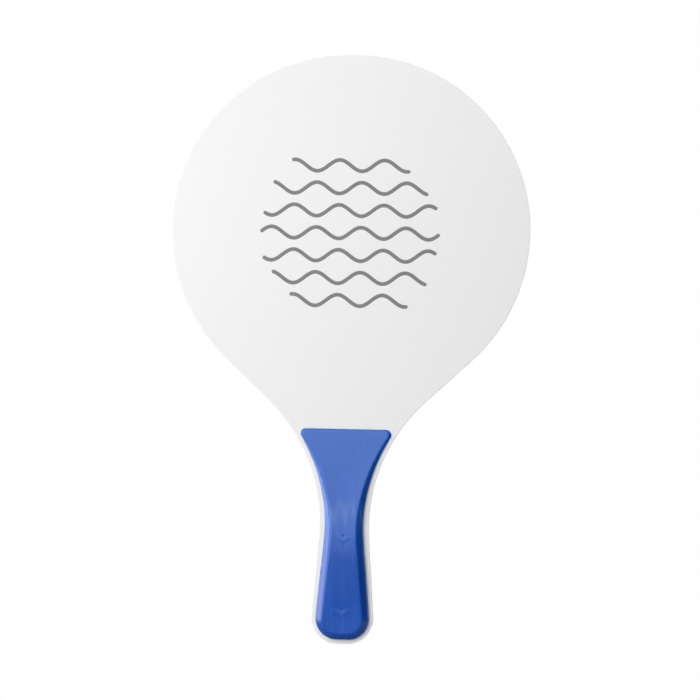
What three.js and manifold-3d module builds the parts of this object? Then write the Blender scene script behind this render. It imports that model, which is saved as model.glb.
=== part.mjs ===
// A beach tennis racket: a lacquered board whose tang carries a moulded grip shell on each side, clamped
// together through the tang by two screws. Z runs up the racket from its butt, X across it and Y through it,
// with the front towards -Y. The origin is in the middle of the butt's end. Lengths are in millimetres and
// the named angles are in degrees.

import * as THREE from 'three';
import { mergeVertices } from 'three/addons/utils/BufferGeometryUtils.js';
import Module from 'manifold-3d';

const wasm = await Module();
wasm.setup();

// Board
const HEAD_WIDTH = 232;
const SIDE_ARC_SHARE = 0.9735; // radius of the head's side arcs, of half its width
const CROWN_ARC_SHARE = 1.103; // radius of the flatter arc over its top, of half its width
const NECK_LENGTH = 77.4; // from the waist up to the lowest point that the side arcs would reach
const WAIST_WIDTH = 31.8;
const WAIST_HEIGHT = 76.3;
const THROAT_ARC_SHARE = 0.929; // of the arc that would reach the head with no straight shoulder
const TANG_FLARE = 4.24; // how much each side of the tang leans out towards the butt
const BUTT_CORNER_RADIUS = 16.4;
const FULL_ROUND_SHARE = 0.97; // the most that the butt's corners take of a fully round butt
const BOARD_THICKNESS = 5;
const BOARD_EDGE_RADIUS = 0.6;

// Grip shells
const GRIP_LENGTH = 136;
const GRIP_INSET = 2.6; // the rim of board left showing round the grip
const WAIST_TUCK = 0.75; // how much wider that rim is at the waist
const TUCK_REACH = 60; // how far above and below the waist it is back to the plain rim
const GRIP_DEPTH = 7; // how far the grip stands off the board in the hand
const TOE_DEPTH = 1.6; // the same at its thin upper edge
const KNEE_HEIGHT = 67; // where the level face and the ramp to the toe would meet
const KNEE_REACH = 13; // how far the bend between them spreads each way
const DRAFT = 32; // how much the grip's sides lean in from the board to its face
const FACE_EDGE_RADIUS = 1.2;
const TOE_CORNER_RADIUS = 3;
const SHELL_WALL = 2;
const CAVITY_LEAST_DEPTH = 1; // the hollow stops where the toe gets too thin for more than this
const CAVITY_CORNER_RADIUS = 1.8;
const RIB_THICKNESS = 1.2;
const RIB_SPACING = 16;
const RIB_RELIEF = 0.5; // the ribs stop this far short of the board

// Fixings
const UPPER_SCREW_HEIGHT = 70;
const LOWER_SCREW_HEIGHT = 22.5;
const SCREW_DIAMETER = 3;
const SCREW_POINT_LENGTH = 2.2;
const SCREW_HEAD_DIAMETER = 5.8;
const SCREW_HEAD_DEPTH = 2.2;
const HEAD_RIM_SHARE = 0.3; // the upright part of the head's edge, of its depth
const DRIVE_SPAN = 3.4;
const DRIVE_WIDTH = 0.9;
const DRIVE_DEPTH = 1.3;
const TIP_COVER = 2.2; // plastic left between the screw's tip and the front grip's face
const SEAT_THICKNESS = 2.5; // plastic clamped under the screw's head
const BOSS_WALL = 1.7;
const SPIGOT_RELIEF = 2; // the spigots stop this far short of the board's far face
const FIT_GAP = 0.3;
const CUT_OVERRUN = 1;

// Facets
const ARC_STEP = 3;
const BUTT_STEPS = 10;
const SIDE_STEPS = 28;
const TOE_STEPS = 5;
const FACE_EDGE_STEPS = 4;
const BOARD_EDGE_STEPS = 4;
const BORE_SIDES = 28;
const HEAD_DOME_STEPS = 5;

const QUARTER_TURN = Math.PI / 2;
const FRONT = -1;
const REAR = 1;

const lacquer = new THREE.MeshStandardMaterial({ color: 0xf0f0ee, roughness: 0.45, metalness: 0 });
const bluePlastic = new THREE.MeshStandardMaterial({ color: 0x2e57ad, roughness: 0.42, metalness: 0 });
const zincSteel = new THREE.MeshStandardMaterial({ color: 0xb4b8bd, roughness: 0.35, metalness: 1 });

// The board's outline is one chain of tangent arcs and lines on each side: butt corner, tang, throat,
// shoulder, side of the head and crown. These are the arcs' radii, centres and joints.
const headHalf = HEAD_WIDTH / 2;
const sideRadius = SIDE_ARC_SHARE * headHalf;
const crownRadius = CROWN_ARC_SHARE * headHalf;
const sideCentreX = headHalf - sideRadius;
const sideCentreZ = WAIST_HEIGHT + NECK_LENGTH + sideRadius;
const crownCentreZ = sideCentreZ - Math.sqrt((crownRadius - sideRadius) ** 2 - sideCentreX ** 2);
const crownAngle = Math.atan2(sideCentreZ - crownCentreZ, sideCentreX);

const waistHalf = WAIST_WIDTH / 2;
const waistRun = waistHalf - sideCentreX;
const waistDrop = sideCentreZ - WAIST_HEIGHT;
const fullThroatRadius = (waistRun ** 2 + waistDrop ** 2 - sideRadius ** 2) / (2 * (sideRadius - waistRun));
const throatRadius = THROAT_ARC_SHARE * fullThroatRadius;
const throatCentreX = waistHalf + throatRadius;
const centresRun = throatCentreX - sideCentreX;
const centresSpan = Math.hypot(centresRun, waistDrop);
const shoulderLean = Math.atan2(waistDrop, centresRun) - Math.acos((throatRadius + sideRadius) / centresSpan);

const tangLean = THREE.MathUtils.degToRad(TANG_FLARE);
const tangTopX = throatCentreX - throatRadius * Math.cos(tangLean);
const tangTopZ = WAIST_HEIGHT - throatRadius * Math.sin(tangLean);
const fullRound = (tangTopX * Math.cos(tangLean) + tangTopZ * Math.sin(tangLean)) / (1 + Math.sin(tangLean));
const buttRadius = Math.min(BUTT_CORNER_RADIUS, FULL_ROUND_SHARE * fullRound);
const buttCentreX = tangTopX + ((tangTopZ - buttRadius) * Math.sin(tangLean) - buttRadius) / Math.cos(tangLean);

// The grip's own heights and slopes
const boardHalf = BOARD_THICKNESS / 2;
const gripTop = GRIP_INSET + GRIP_LENGTH;
const rampSlope = (GRIP_DEPTH - TOE_DEPTH) / (gripTop - KNEE_HEIGHT);
const draftAngle = THREE.MathUtils.degToRad(DRAFT);
const draftSlope = Math.tan(draftAngle);
const wallInPlan = SHELL_WALL / Math.cos(draftAngle);
const hollowDepth = SHELL_WALL + CAVITY_LEAST_DEPTH;
const hollowEnd = KNEE_HEIGHT + (GRIP_DEPTH - hollowDepth) / rampSlope;
const cavityTop = Math.min(hollowEnd, gripTop - SHELL_WALL);

// The screw stack runs from the seat in the rear grip to the tip inside the front grip.
const screwHeights = [UPPER_SCREW_HEIGHT, LOWER_SCREW_HEIGHT];
const screwRadius = SCREW_DIAMETER / 2;
const screwHeadRadius = SCREW_HEAD_DIAMETER / 2;
const boreRadius = screwRadius + FIT_GAP;
const spigotRadius = boreRadius + BOSS_WALL;
const counterboreRadius = screwHeadRadius + FIT_GAP;
const seatBossRadius = counterboreRadius + BOSS_WALL;
const seatY = boardHalf + SEAT_THICKNESS;
const tipY = -boardHalf - Math.min(...screwHeights.map(faceDepth)) + TIP_COVER;

// How far the grip's face stands off the board at height z: level in the hand, straight down to the toe,
// with a parabola through the knee between them.
function faceDepth(z) {
  const past = z - KNEE_HEIGHT;
  if (past <= -KNEE_REACH) {
    return GRIP_DEPTH;
  }
  if (past >= KNEE_REACH) {
    return GRIP_DEPTH - rampSlope * past;
  }
  return GRIP_DEPTH - (rampSlope * (past + KNEE_REACH) ** 2) / (4 * KNEE_REACH);
}

// Half the board's width at height z above its butt corners, drawn in along the normal by inset, and how
// much the side leans out from the axis there.
function boardSide(z, inset) {
  const throat = throatRadius + inset;
  const side = sideRadius - inset;
  const throatSine = (z - WAIST_HEIGHT) / throat;
  const headSine = (sideCentreZ - z) / side;
  if (throatSine < -Math.sin(tangLean)) {
    const x = tangTopX - (z - tangTopZ) * Math.tan(tangLean) - inset / Math.cos(tangLean);
    return { x, lean: -tangLean };
  }
  if (throatSine < Math.sin(shoulderLean)) {
    const lean = Math.asin(throatSine);
    return { x: throatCentreX - throat * Math.cos(lean), lean };
  }
  if (headSine < Math.sin(shoulderLean)) {
    const lean = Math.asin(headSine);
    return { x: sideCentreX + side * Math.cos(lean), lean };
  }
  const startX = throatCentreX - throat * Math.cos(shoulderLean);
  const startZ = WAIST_HEIGHT + throat * Math.sin(shoulderLean);
  return { x: startX + (z - startZ) * Math.tan(shoulderLean), lean: shoulderLean };
}

// Points on an arc in the board's plane, from one angle to another, ends included.
function arc(centreX, centreZ, radius, from, to, steps) {
  return Array.from({ length: steps + 1 }, (_, i) => {
    const angle = THREE.MathUtils.lerp(from, to, i / steps);
    return new THREE.Vector2(centreX + radius * Math.cos(angle), centreZ + radius * Math.sin(angle));
  });
}

// The steps that an arc needs to keep each facet within the arc step.
function arcSteps(from, to) {
  return Math.max(1, Math.ceil(Math.abs(THREE.MathUtils.radToDeg(to - from)) / ARC_STEP));
}

// A half outline joined to its mirror image in the axis.
function mirrored(half) {
  const left = half.map((p) => new THREE.Vector2(-p.x, p.y)).reverse();
  return [...half, ...left];
}

function boardOutline() {
  const throat = arc(throatCentreX, WAIST_HEIGHT, throatRadius, Math.PI + tangLean, Math.PI - shoulderLean,
    arcSteps(-tangLean, shoulderLean));
  const lowSide = arc(sideCentreX, sideCentreZ, sideRadius, -shoulderLean, 0, arcSteps(-shoulderLean, 0));
  const highSide = arc(sideCentreX, sideCentreZ, sideRadius, 0, crownAngle, arcSteps(0, crownAngle));
  const crown = arc(0, crownCentreZ, crownRadius, crownAngle, QUARTER_TURN, arcSteps(crownAngle, QUARTER_TURN));
  const butt = arc(buttCentreX, buttRadius, buttRadius, -QUARTER_TURN, tangLean, BUTT_STEPS);
  const half = [...butt, ...throat, ...lowSide, ...highSide.slice(1), ...crown.slice(1, -1)];
  const outline = mirrored(half);
  outline.splice(half.length, 0, crown[crown.length - 1]);
  return outline;
}

// A closed solid that the booleans can take, with shared vertices merged and empty triangles left out.
function solidOf(geometry) {
  const bare = geometry.clone();
  bare.deleteAttribute('normal');
  bare.deleteAttribute('uv');
  const merged = mergeVertices(bare);
  const index = Array.from(merged.index.array);
  const triangles = [];
  for (let i = 0; i < index.length; i += 3) {
    const [a, b, c] = index.slice(i, i + 3);
    if (a !== b && b !== c && a !== c) {
      triangles.push(a, b, c);
    }
  }
  return new wasm.Manifold(new wasm.Mesh({
    numProp: 3,
    vertProperties: new Float32Array(merged.attributes.position.array),
    triVerts: new Uint32Array(triangles),
  }));
}

function geometryOf(solid) {
  const mesh = solid.getMesh();
  const geometry = new THREE.BufferGeometry();
  geometry.setAttribute('position', new THREE.BufferAttribute(new Float32Array(mesh.vertProperties), 3));
  geometry.setIndex(new THREE.BufferAttribute(new Uint32Array(mesh.triVerts), 1));
  geometry.computeVertexNormals();
  return geometry;
}

// A round bar through the racket's thickness at height z, between two places on Y.
function crossBar(radius, z, fromY, toY) {
  const bar = new THREE.CylinderGeometry(radius, radius, Math.abs(toY - fromY), BORE_SIDES);
  bar.translate(0, (fromY + toY) / 2, z);
  return solidOf(bar);
}

function makeBlade() {
  const board = new THREE.ExtrudeGeometry(new THREE.Shape(boardOutline()), {
    depth: BOARD_THICKNESS - 2 * BOARD_EDGE_RADIUS,
    bevelThickness: BOARD_EDGE_RADIUS,
    bevelSize: BOARD_EDGE_RADIUS,
    bevelOffset: -BOARD_EDGE_RADIUS,
    bevelSegments: BOARD_EDGE_STEPS,
  });
  board.translate(0, 0, BOARD_EDGE_RADIUS - boardHalf);
  board.rotateX(QUARTER_TURN);
  return screwHeights.reduce((solid, z) => {
    const reach = boardHalf + CUT_OVERRUN;
    return solid.subtract(crossBar(spigotRadius + FIT_GAP, z, -reach, reach));
  }, solidOf(board));
}

// How much further the grip's sides are drawn in at height z: most at the waist, fading out smoothly.
function tuckAt(z) {
  const away = Math.min(1, Math.abs(z - WAIST_HEIGHT) / TUCK_REACH);
  return (WAIST_TUCK * (1 + Math.cos(Math.PI * away))) / 2;
}

// One level line round a grip: the board's outline drawn in by the base's margin and the tuck, cut off
// straight at its top with rounded corners, and drawn in further as the sides lean in with their height off
// the board.
function gripRing(base, drawnIn, depthAt) {
  const insetAt = (z) => base.margin + tuckAt(z) + drawnIn + draftSlope * depthAt(z);
  const topDraw = drawnIn + draftSlope * depthAt(base.top);
  const corner = base.corner - topDraw;
  const cornerZ = base.top - topDraw - corner;
  const centre = boardSide(cornerZ, insetAt(cornerZ) + corner);
  const butt = arc(buttCentreX, buttRadius, buttRadius - insetAt(0), -QUARTER_TURN, tangLean, BUTT_STEPS);
  const toe = arc(centre.x, cornerZ, corner, -centre.lean, QUARTER_TURN, TOE_STEPS);
  const startZ = butt[BUTT_STEPS].y;
  const endZ = toe[0].y;
  const side = Array.from({ length: SIDE_STEPS - 1 }, (_, i) => {
    const z = THREE.MathUtils.lerp(startZ, endZ, (i + 1) / SIDE_STEPS);
    return new THREE.Vector2(boardSide(z, insetAt(z)).x, z);
  });
  return mirrored([...butt, ...side, ...toe]).map((p) => new THREE.Vector3(p.x, depthAt(p.y), p.y));
}

// A closed skin through a row of rings, each the mirror image of itself in the axis. The first and last
// rings are closed by rungs from each point to its mirror image.
function skinThrough(rings, face) {
  const count = rings[0].length;
  const positions = rings.flat().flatMap((p) => [p.x, face * (boardHalf + p.y), p.z]);
  const index = [];
  const addTriangle = (a, b, c) => (face === FRONT ? index.push(a, b, c) : index.push(a, c, b));
  for (let ring = 0; ring + 1 < rings.length; ring += 1) {
    for (let i = 0; i < count; i += 1) {
      const a = ring * count + i;
      const b = ring * count + ((i + 1) % count);
      addTriangle(a, b, b + count);
      addTriangle(a, b + count, a + count);
    }
  }
  const last = (rings.length - 1) * count;
  for (let i = 0; i + 1 < count / 2; i += 1) {
    const opposite = count - 1 - i;
    addTriangle(opposite, i + 1, i);
    addTriangle(opposite, opposite - 1, i + 1);
    addTriangle(last + opposite, last + i, last + i + 1);
    addTriangle(last + opposite, last + i + 1, last + opposite - 1);
  }
  const geometry = new THREE.BufferGeometry();
  geometry.setAttribute('position', new THREE.Float32BufferAttribute(positions, 3));
  geometry.setIndex(index);
  return solidOf(geometry);
}

// The rounded edge between the grip's leaning sides and its face: for each line round it, how far it is
// drawn in from the side's slope and how far it lies under the face.
function faceEdgeLines() {
  const tangent = (FACE_EDGE_RADIUS * Math.cos(draftAngle)) / (1 + Math.sin(draftAngle));
  return Array.from({ length: FACE_EDGE_STEPS + 1 }, (_, i) => {
    const angle = THREE.MathUtils.lerp(draftAngle, QUARTER_TURN, i / FACE_EDGE_STEPS);
    const under = FACE_EDGE_RADIUS * (1 - Math.sin(angle));
    const drawnIn = tangent - FACE_EDGE_RADIUS * Math.cos(angle) + draftSlope * under;
    return { drawnIn, under };
  });
}

function shellSkin(face) {
  const outside = { margin: GRIP_INSET, top: gripTop, corner: TOE_CORNER_RADIUS };
  const inside = { margin: GRIP_INSET + wallInPlan, top: cavityTop, corner: CAVITY_CORNER_RADIUS };
  const onBoard = () => 0;
  const ceiling = (z) => faceDepth(z) - SHELL_WALL;
  const edge = faceEdgeLines().map(({ drawnIn, under }) =>
    gripRing(outside, drawnIn, (z) => faceDepth(z) - under));
  return skinThrough([
    gripRing(inside, 0, ceiling),
    gripRing(inside, 0, onBoard),
    gripRing(outside, 0, onBoard),
    ...edge,
  ], face);
}

// The space that the ribs fill: half way into the shell's walls all round, and short of the board.
function ribSpace(face) {
  const halfWall = SHELL_WALL / 2;
  const base = {
    margin: GRIP_INSET + wallInPlan / 2,
    top: cavityTop + halfWall,
    corner: CAVITY_CORNER_RADIUS + halfWall,
  };
  const ceiling = (z) => faceDepth(z) - halfWall;
  const relief = () => RIB_RELIEF;
  return skinThrough([gripRing(base, 0, relief), gripRing(base, 0, ceiling)], face);
}

// One rib up the middle, and cross ribs at even spacing between the ends of the hollow.
function ribs(face) {
  const foot = GRIP_INSET + wallInPlan;
  const length = cavityTop - foot;
  const depth = GRIP_DEPTH;
  const middleY = face * (boardHalf + depth / 2);
  const spine = new THREE.BoxGeometry(RIB_THICKNESS, depth, length);
  spine.translate(0, middleY, foot + length / 2);
  const count = Math.max(1, Math.round(length / RIB_SPACING) - 1);
  let lattice = solidOf(spine);
  for (let i = 1; i <= count; i += 1) {
    const rib = new THREE.BoxGeometry(HEAD_WIDTH, depth, RIB_THICKNESS);
    rib.translate(0, middleY, foot + (i * length) / (count + 1));
    lattice = lattice.add(solidOf(rib));
  }
  return lattice.intersect(ribSpace(face));
}

// The ceiling's middle plane over a boss at height z, where the boss ends inside the wall.
function bossRoot(z) {
  return boardHalf + faceDepth(z) - SHELL_WALL / 2;
}

// The front grip's bosses go on as spigots into the board's holes, and the screws bite in their bores.
function makeFrontGrip() {
  const spigotY = boardHalf - SPIGOT_RELIEF;
  let shell = shellSkin(FRONT).add(ribs(FRONT));
  for (const z of screwHeights) {
    shell = shell.add(crossBar(spigotRadius, z, FRONT * bossRoot(z), spigotY));
  }
  for (const z of screwHeights) {
    shell = shell.subtract(crossBar(boreRadius, z, tipY - FIT_GAP, spigotY + CUT_OVERRUN));
  }
  return shell;
}

// The rear grip's bosses stand on the board and hold the screws' heads in counterbores.
function makeRearGrip() {
  let shell = shellSkin(REAR).add(ribs(REAR));
  for (const z of screwHeights) {
    shell = shell.add(crossBar(seatBossRadius, z, boardHalf, bossRoot(z)));
  }
  for (const z of screwHeights) {
    const outY = boardHalf + GRIP_DEPTH + CUT_OVERRUN;
    shell = shell.subtract(crossBar(boreRadius, z, boardHalf - CUT_OVERRUN, outY));
    shell = shell.subtract(crossBar(counterboreRadius, z, seatY, outY));
  }
  return shell;
}

// A pan head screw along Y, its head's underside on the seat, with a cross recess.
function makeScrew(z) {
  const rim = HEAD_RIM_SHARE * SCREW_HEAD_DEPTH;
  const dome = Array.from({ length: HEAD_DOME_STEPS + 1 }, (_, i) => {
    const angle = (QUARTER_TURN * i) / HEAD_DOME_STEPS;
    const y = seatY + rim + (SCREW_HEAD_DEPTH - rim) * Math.sin(angle);
    return new THREE.Vector2(i < HEAD_DOME_STEPS ? screwHeadRadius * Math.cos(angle) : 0, y);
  });
  const profile = [
    new THREE.Vector2(0, tipY),
    new THREE.Vector2(screwRadius, tipY + SCREW_POINT_LENGTH),
    new THREE.Vector2(screwRadius, seatY),
    new THREE.Vector2(screwHeadRadius, seatY),
    ...dome,
  ];
  const turned = new THREE.LatheGeometry(profile, BORE_SIDES);
  turned.translate(0, 0, z);
  const cutY = seatY + SCREW_HEAD_DEPTH - DRIVE_DEPTH + (DRIVE_DEPTH + CUT_OVERRUN) / 2;
  const across = new THREE.BoxGeometry(DRIVE_SPAN, DRIVE_DEPTH + CUT_OVERRUN, DRIVE_WIDTH);
  const upright = new THREE.BoxGeometry(DRIVE_WIDTH, DRIVE_DEPTH + CUT_OVERRUN, DRIVE_SPAN);
  across.translate(0, cutY, z);
  upright.translate(0, cutY, z);
  return solidOf(turned).subtract(solidOf(across).add(solidOf(upright)));
}

function namedMesh(name, solid, material) {
  const mesh = new THREE.Mesh(geometryOf(solid), material);
  mesh.name = name;
  return mesh;
}

const racket = new THREE.Group();
racket.add(
  namedMesh('blade', makeBlade(), lacquer),
  namedMesh('front_grip_shell', makeFrontGrip(), bluePlastic),
  namedMesh('rear_grip_shell', makeRearGrip(), bluePlastic),
  namedMesh('upper_grip_screw', makeScrew(UPPER_SCREW_HEIGHT), zincSteel),
  namedMesh('lower_grip_screw', makeScrew(LOWER_SCREW_HEIGHT), zincSteel),
);

export default racket;
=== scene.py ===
"""The looks of a flat beach tennis racket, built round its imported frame.

The racket is a lacquered fibreboard paddle whose tang carries a moulded grip shell on each side, clamped by
two screws through the rear shell. Each sub-assembly is a class that holds its own sizes, makes its surfaces
with numpy and gives them their finish. Lengths are in metres. Z runs up the racket from the butt, X across it
and Y through it, with the front towards -Y.
"""

import logging
import math
from collections.abc import Sequence
from dataclasses import dataclass, field
from enum import Enum
from functools import cached_property, reduce
from typing import Any

import bmesh
import bpy
import numpy as np
from mathutils import Matrix, Vector
from mathutils.geometry import delaunay_2d_cdt

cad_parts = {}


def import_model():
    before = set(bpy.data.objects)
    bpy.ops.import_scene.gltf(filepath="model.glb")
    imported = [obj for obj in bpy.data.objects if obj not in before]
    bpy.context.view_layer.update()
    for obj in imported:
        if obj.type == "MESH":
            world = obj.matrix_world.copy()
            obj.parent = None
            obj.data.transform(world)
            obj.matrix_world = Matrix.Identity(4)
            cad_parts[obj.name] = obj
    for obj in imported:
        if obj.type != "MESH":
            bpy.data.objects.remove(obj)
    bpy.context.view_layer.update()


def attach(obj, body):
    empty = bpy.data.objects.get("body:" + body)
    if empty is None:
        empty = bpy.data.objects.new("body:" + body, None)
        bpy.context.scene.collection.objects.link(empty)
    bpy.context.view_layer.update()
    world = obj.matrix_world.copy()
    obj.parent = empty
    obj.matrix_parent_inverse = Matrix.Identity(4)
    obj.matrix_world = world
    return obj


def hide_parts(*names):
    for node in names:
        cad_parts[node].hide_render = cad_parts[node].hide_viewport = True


Triple = tuple[float, float, float]
Values = float | np.ndarray
Socket = bpy.types.NodeSocket

LOG = logging.getLogger("racket")
BODY = "root"
SCREW_NODES = ("upper_grip_screw", "lower_grip_screw")
WELD = 1e-8
SHARP_ANGLE = math.radians(30)
QUARTER_TURN = math.pi / 2
FULL_TURN = 2 * math.pi
WHITE = (1.0, 1.0, 1.0, 1.0)


class Face(Enum):
    """The side of the board that something lies on. The value is its direction on Y."""

    FRONT = -1
    REAR = 1


class Joining(Enum):
    """What is done with the second of two solids. The value is Blender's word for it."""

    CUT = "DIFFERENCE"
    JOIN = "UNION"
    KEEP = "INTERSECT"


@dataclass(frozen=True)
class Patch:
    """Part of a skin: its points and the four corners of each face. A triangle repeats a corner."""

    points: np.ndarray
    corners: np.ndarray


def rays(angles: Values) -> np.ndarray:
    """The unit directions (cos a, sin a) of some angles."""
    return np.stack([np.cos(angles), np.sin(angles)], axis=-1)


def turn_angles(sides: int) -> np.ndarray:
    """The angles of the steps that go once round."""
    return np.linspace(0, FULL_TURN, sides, endpoint=False)


def smooth_step(share: Values) -> np.ndarray:
    """Rises smoothly from zero to one as a share s does, s^2 (3 - 2 s), and stays level past its ends."""
    share = np.clip(share, 0, 1)
    return share**2 * (3 - 2 * share)


def set_on_y(flat: np.ndarray, y: Values) -> np.ndarray:
    """Gives rows of x and z their place on Y, which is one value or one for each."""
    x, z = flat[..., 0], flat[..., 1]
    return np.stack([x, np.broadcast_to(y, x.shape), z], axis=-1)


def grid_patch(points: np.ndarray, closed: bool = False) -> Patch:
    """Covers a grid of points with four-cornered faces.

    Args:
        points: The grid, as rows by columns by three.
        closed: Whether the last column joins the first.

    Returns:
        The patch. Neighbours (i, j), (i, j + 1), (i + 1, j + 1) and (i + 1, j) make one face.
    """
    rows, columns = points.shape[:2]
    ids = np.arange(rows * columns).reshape(rows, columns)
    if closed:
        ids = np.concatenate([ids, ids[:, :1]], axis=1)
    corners = np.stack([ids[:-1, :-1], ids[:-1, 1:], ids[1:, 1:], ids[1:, :-1]], axis=-1)
    return Patch(points.reshape(-1, 3), corners.reshape(-1, 4))


def lathe_patch(radii: np.ndarray, heights: np.ndarray, sides: int) -> Patch:
    """Turns a profile about the Y axis: a point is (r cos a, y, r sin a) for a going once round.

    Args:
        radii: The profile's distance from the axis, one for each height, or one for each step round it too.
        heights: The profile's place on Y.
        sides: How many steps one turn has.

    Returns:
        The turned surface, which is closed where the radius is zero at both ends.
    """
    flat = np.reshape(radii, (len(heights), -1, 1)) * rays(turn_angles(sides))
    return grid_patch(set_on_y(flat, heights[:, None]), closed=True)


def turned_patch(profile: np.ndarray, sides: int) -> Patch:
    """A solid turned about the Y axis from rows of radius and Y, with both ends drawn in to the axis."""
    closed = np.vstack([[0, profile[0, 1]], profile, [0, profile[-1, 1]]])
    return lathe_patch(closed[:, 0], closed[:, 1], sides)


def box_patch(low: Sequence[float], high: Sequence[float]) -> Patch:
    """A box between two corners: a ring of four points at each end, drawn to a point to close it.

    Args:
        low: The corner with the least x, y and z.
        high: The corner with the most.

    Returns:
        The box.
    """
    (x0, y0, z0), (x1, y1, z1) = low, high
    ring = np.array([(x0, z0), (x1, z0), (x1, z1), (x0, z1)])
    middle = np.broadcast_to(ring.mean(axis=0), ring.shape)
    rows = [set_on_y(flat, y) for flat, y in ((middle, y0), (ring, y0), (ring, y1), (middle, y1))]
    return grid_patch(np.stack(rows), closed=True)


def moved(patch: Patch, place: Sequence[float], lean: float = 0.0) -> Patch:
    """Turns a patch about the X axis by lean and then moves it to its place."""
    turn = np.array(Matrix.Rotation(lean, 3, "X"))
    return Patch(patch.points @ turn.T + np.asarray(place), patch.corners)


def mesh_of(name: str, patches: Sequence[Patch]) -> bpy.types.Mesh:
    """Welds patches into one mesh with its faces pointing outwards.

    Points that fall together become one, and a face loses the corners that they had in common.

    Args:
        name: The mesh's name.
        patches: The parts of the skin, which meet in equal points.

    Returns:
        The mesh.
    """
    points = np.concatenate([patch.points for patch in patches])
    starts = np.cumsum([0] + [len(patch.points) for patch in patches[:-1]])
    corners = np.concatenate([patch.corners + start for patch, start in zip(patches, starts)])
    keys = np.round(points / WELD).astype(np.int64)
    _, first, ids = np.unique(keys, axis=0, return_index=True, return_inverse=True)
    corners = ids.reshape(-1)[corners]
    kept = corners != np.roll(corners, 1, axis=1)
    whole = kept.sum(axis=1) >= 3
    loops = corners[whole][kept[whole]]
    totals = kept[whole].sum(axis=1)
    mesh = bpy.data.meshes.new(name)
    mesh.vertices.add(len(first))
    mesh.vertices.foreach_set("co", points[first].astype(np.float32).ravel())
    mesh.loops.add(len(loops))
    mesh.loops.foreach_set("vertex_index", loops.astype(np.int32))
    mesh.polygons.add(len(totals))
    mesh.polygons.foreach_set("loop_start", (np.cumsum(totals) - totals).astype(np.int32))
    mesh.polygons.foreach_set("loop_total", totals.astype(np.int32))
    mesh.update(calc_edges=True)
    mesh.validate()
    work = bmesh.new()
    work.from_mesh(mesh)
    bmesh.ops.recalc_face_normals(work, faces=work.faces)
    work.to_mesh(mesh)
    work.free()
    return mesh


def open_edges(mesh: bpy.types.Mesh) -> int:
    """Counts the edges of a mesh that don't lie between exactly two faces.

    Args:
        mesh: The mesh.

    Returns:
        How many there are.
    """
    loop_edges = np.zeros(len(mesh.loops), np.int32)
    mesh.loops.foreach_get("edge_index", loop_edges)
    return int((np.bincount(loop_edges, minlength=len(mesh.edges)) != 2).sum())


def placed(name: str, data: bpy.types.ID) -> bpy.types.Object:
    """Puts an object with its data in the scene.

    Args:
        name: The object's name.
        data: Its mesh, lamp or camera.

    Returns:
        The object.
    """
    thing = bpy.data.objects.new(name, data)
    bpy.context.scene.collection.objects.link(thing)
    return thing


def combined(
    name: str, base: bpy.types.Mesh, steps: Sequence[tuple[Joining, bpy.types.Mesh]]
) -> bpy.types.Mesh:
    """Cuts solids from a base, or joins them to it, one after another.

    Blender leaves out a step whose solid isn't closed and says nothing, so an open one stops the script.

    Args:
        name: The name of the mesh that comes out.
        base: The solid to start from.
        steps: What is done, and the solid that it is done with.

    Returns:
        The mesh of the solid that is left.
    """
    for mesh in [base, *(tool for _, tool in steps)]:
        if open_edges(mesh):
            raise ValueError(f"{name}: {mesh.name} has {open_edges(mesh)} open edges")
    target = placed(name, base)
    tools = []
    for joining, mesh in steps:
        tools.append(placed(mesh.name, mesh))
        modifier = target.modifiers.new(mesh.name, "BOOLEAN")
        modifier.solver = "MANIFOLD"
        modifier.operation = joining.value
        modifier.object = tools[-1]
    graph = bpy.context.evaluated_depsgraph_get()
    result = bpy.data.meshes.new_from_object(target.evaluated_get(graph))
    for spent in [target, *tools]:
        mesh = spent.data
        bpy.data.objects.remove(spent)
        bpy.data.meshes.remove(mesh)
    result.name = name
    return result


def shown(
    name: str, mesh: bpy.types.Mesh, material: bpy.types.Material, *nodes: str, slot: str = ""
) -> None:
    """Puts a finished mesh in the scene as a piece of the racket.

    Args:
        name: The piece's name.
        mesh: Its mesh, already in its place.
        material: Its finish.
        nodes: The frame's nodes that it stands for.
        slot: Not used.
    """
    mesh.materials.clear()
    mesh.materials.append(material)
    mesh.shade_smooth()
    mesh.set_sharp_from_angle(angle=SHARP_ANGLE)
    piece = placed(name, mesh)
    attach(piece, BODY)
    if nodes:
        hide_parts(*nodes)
    LOG.info("%s: %d faces, %d open edges", name, len(mesh.polygons), open_edges(mesh))


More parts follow.
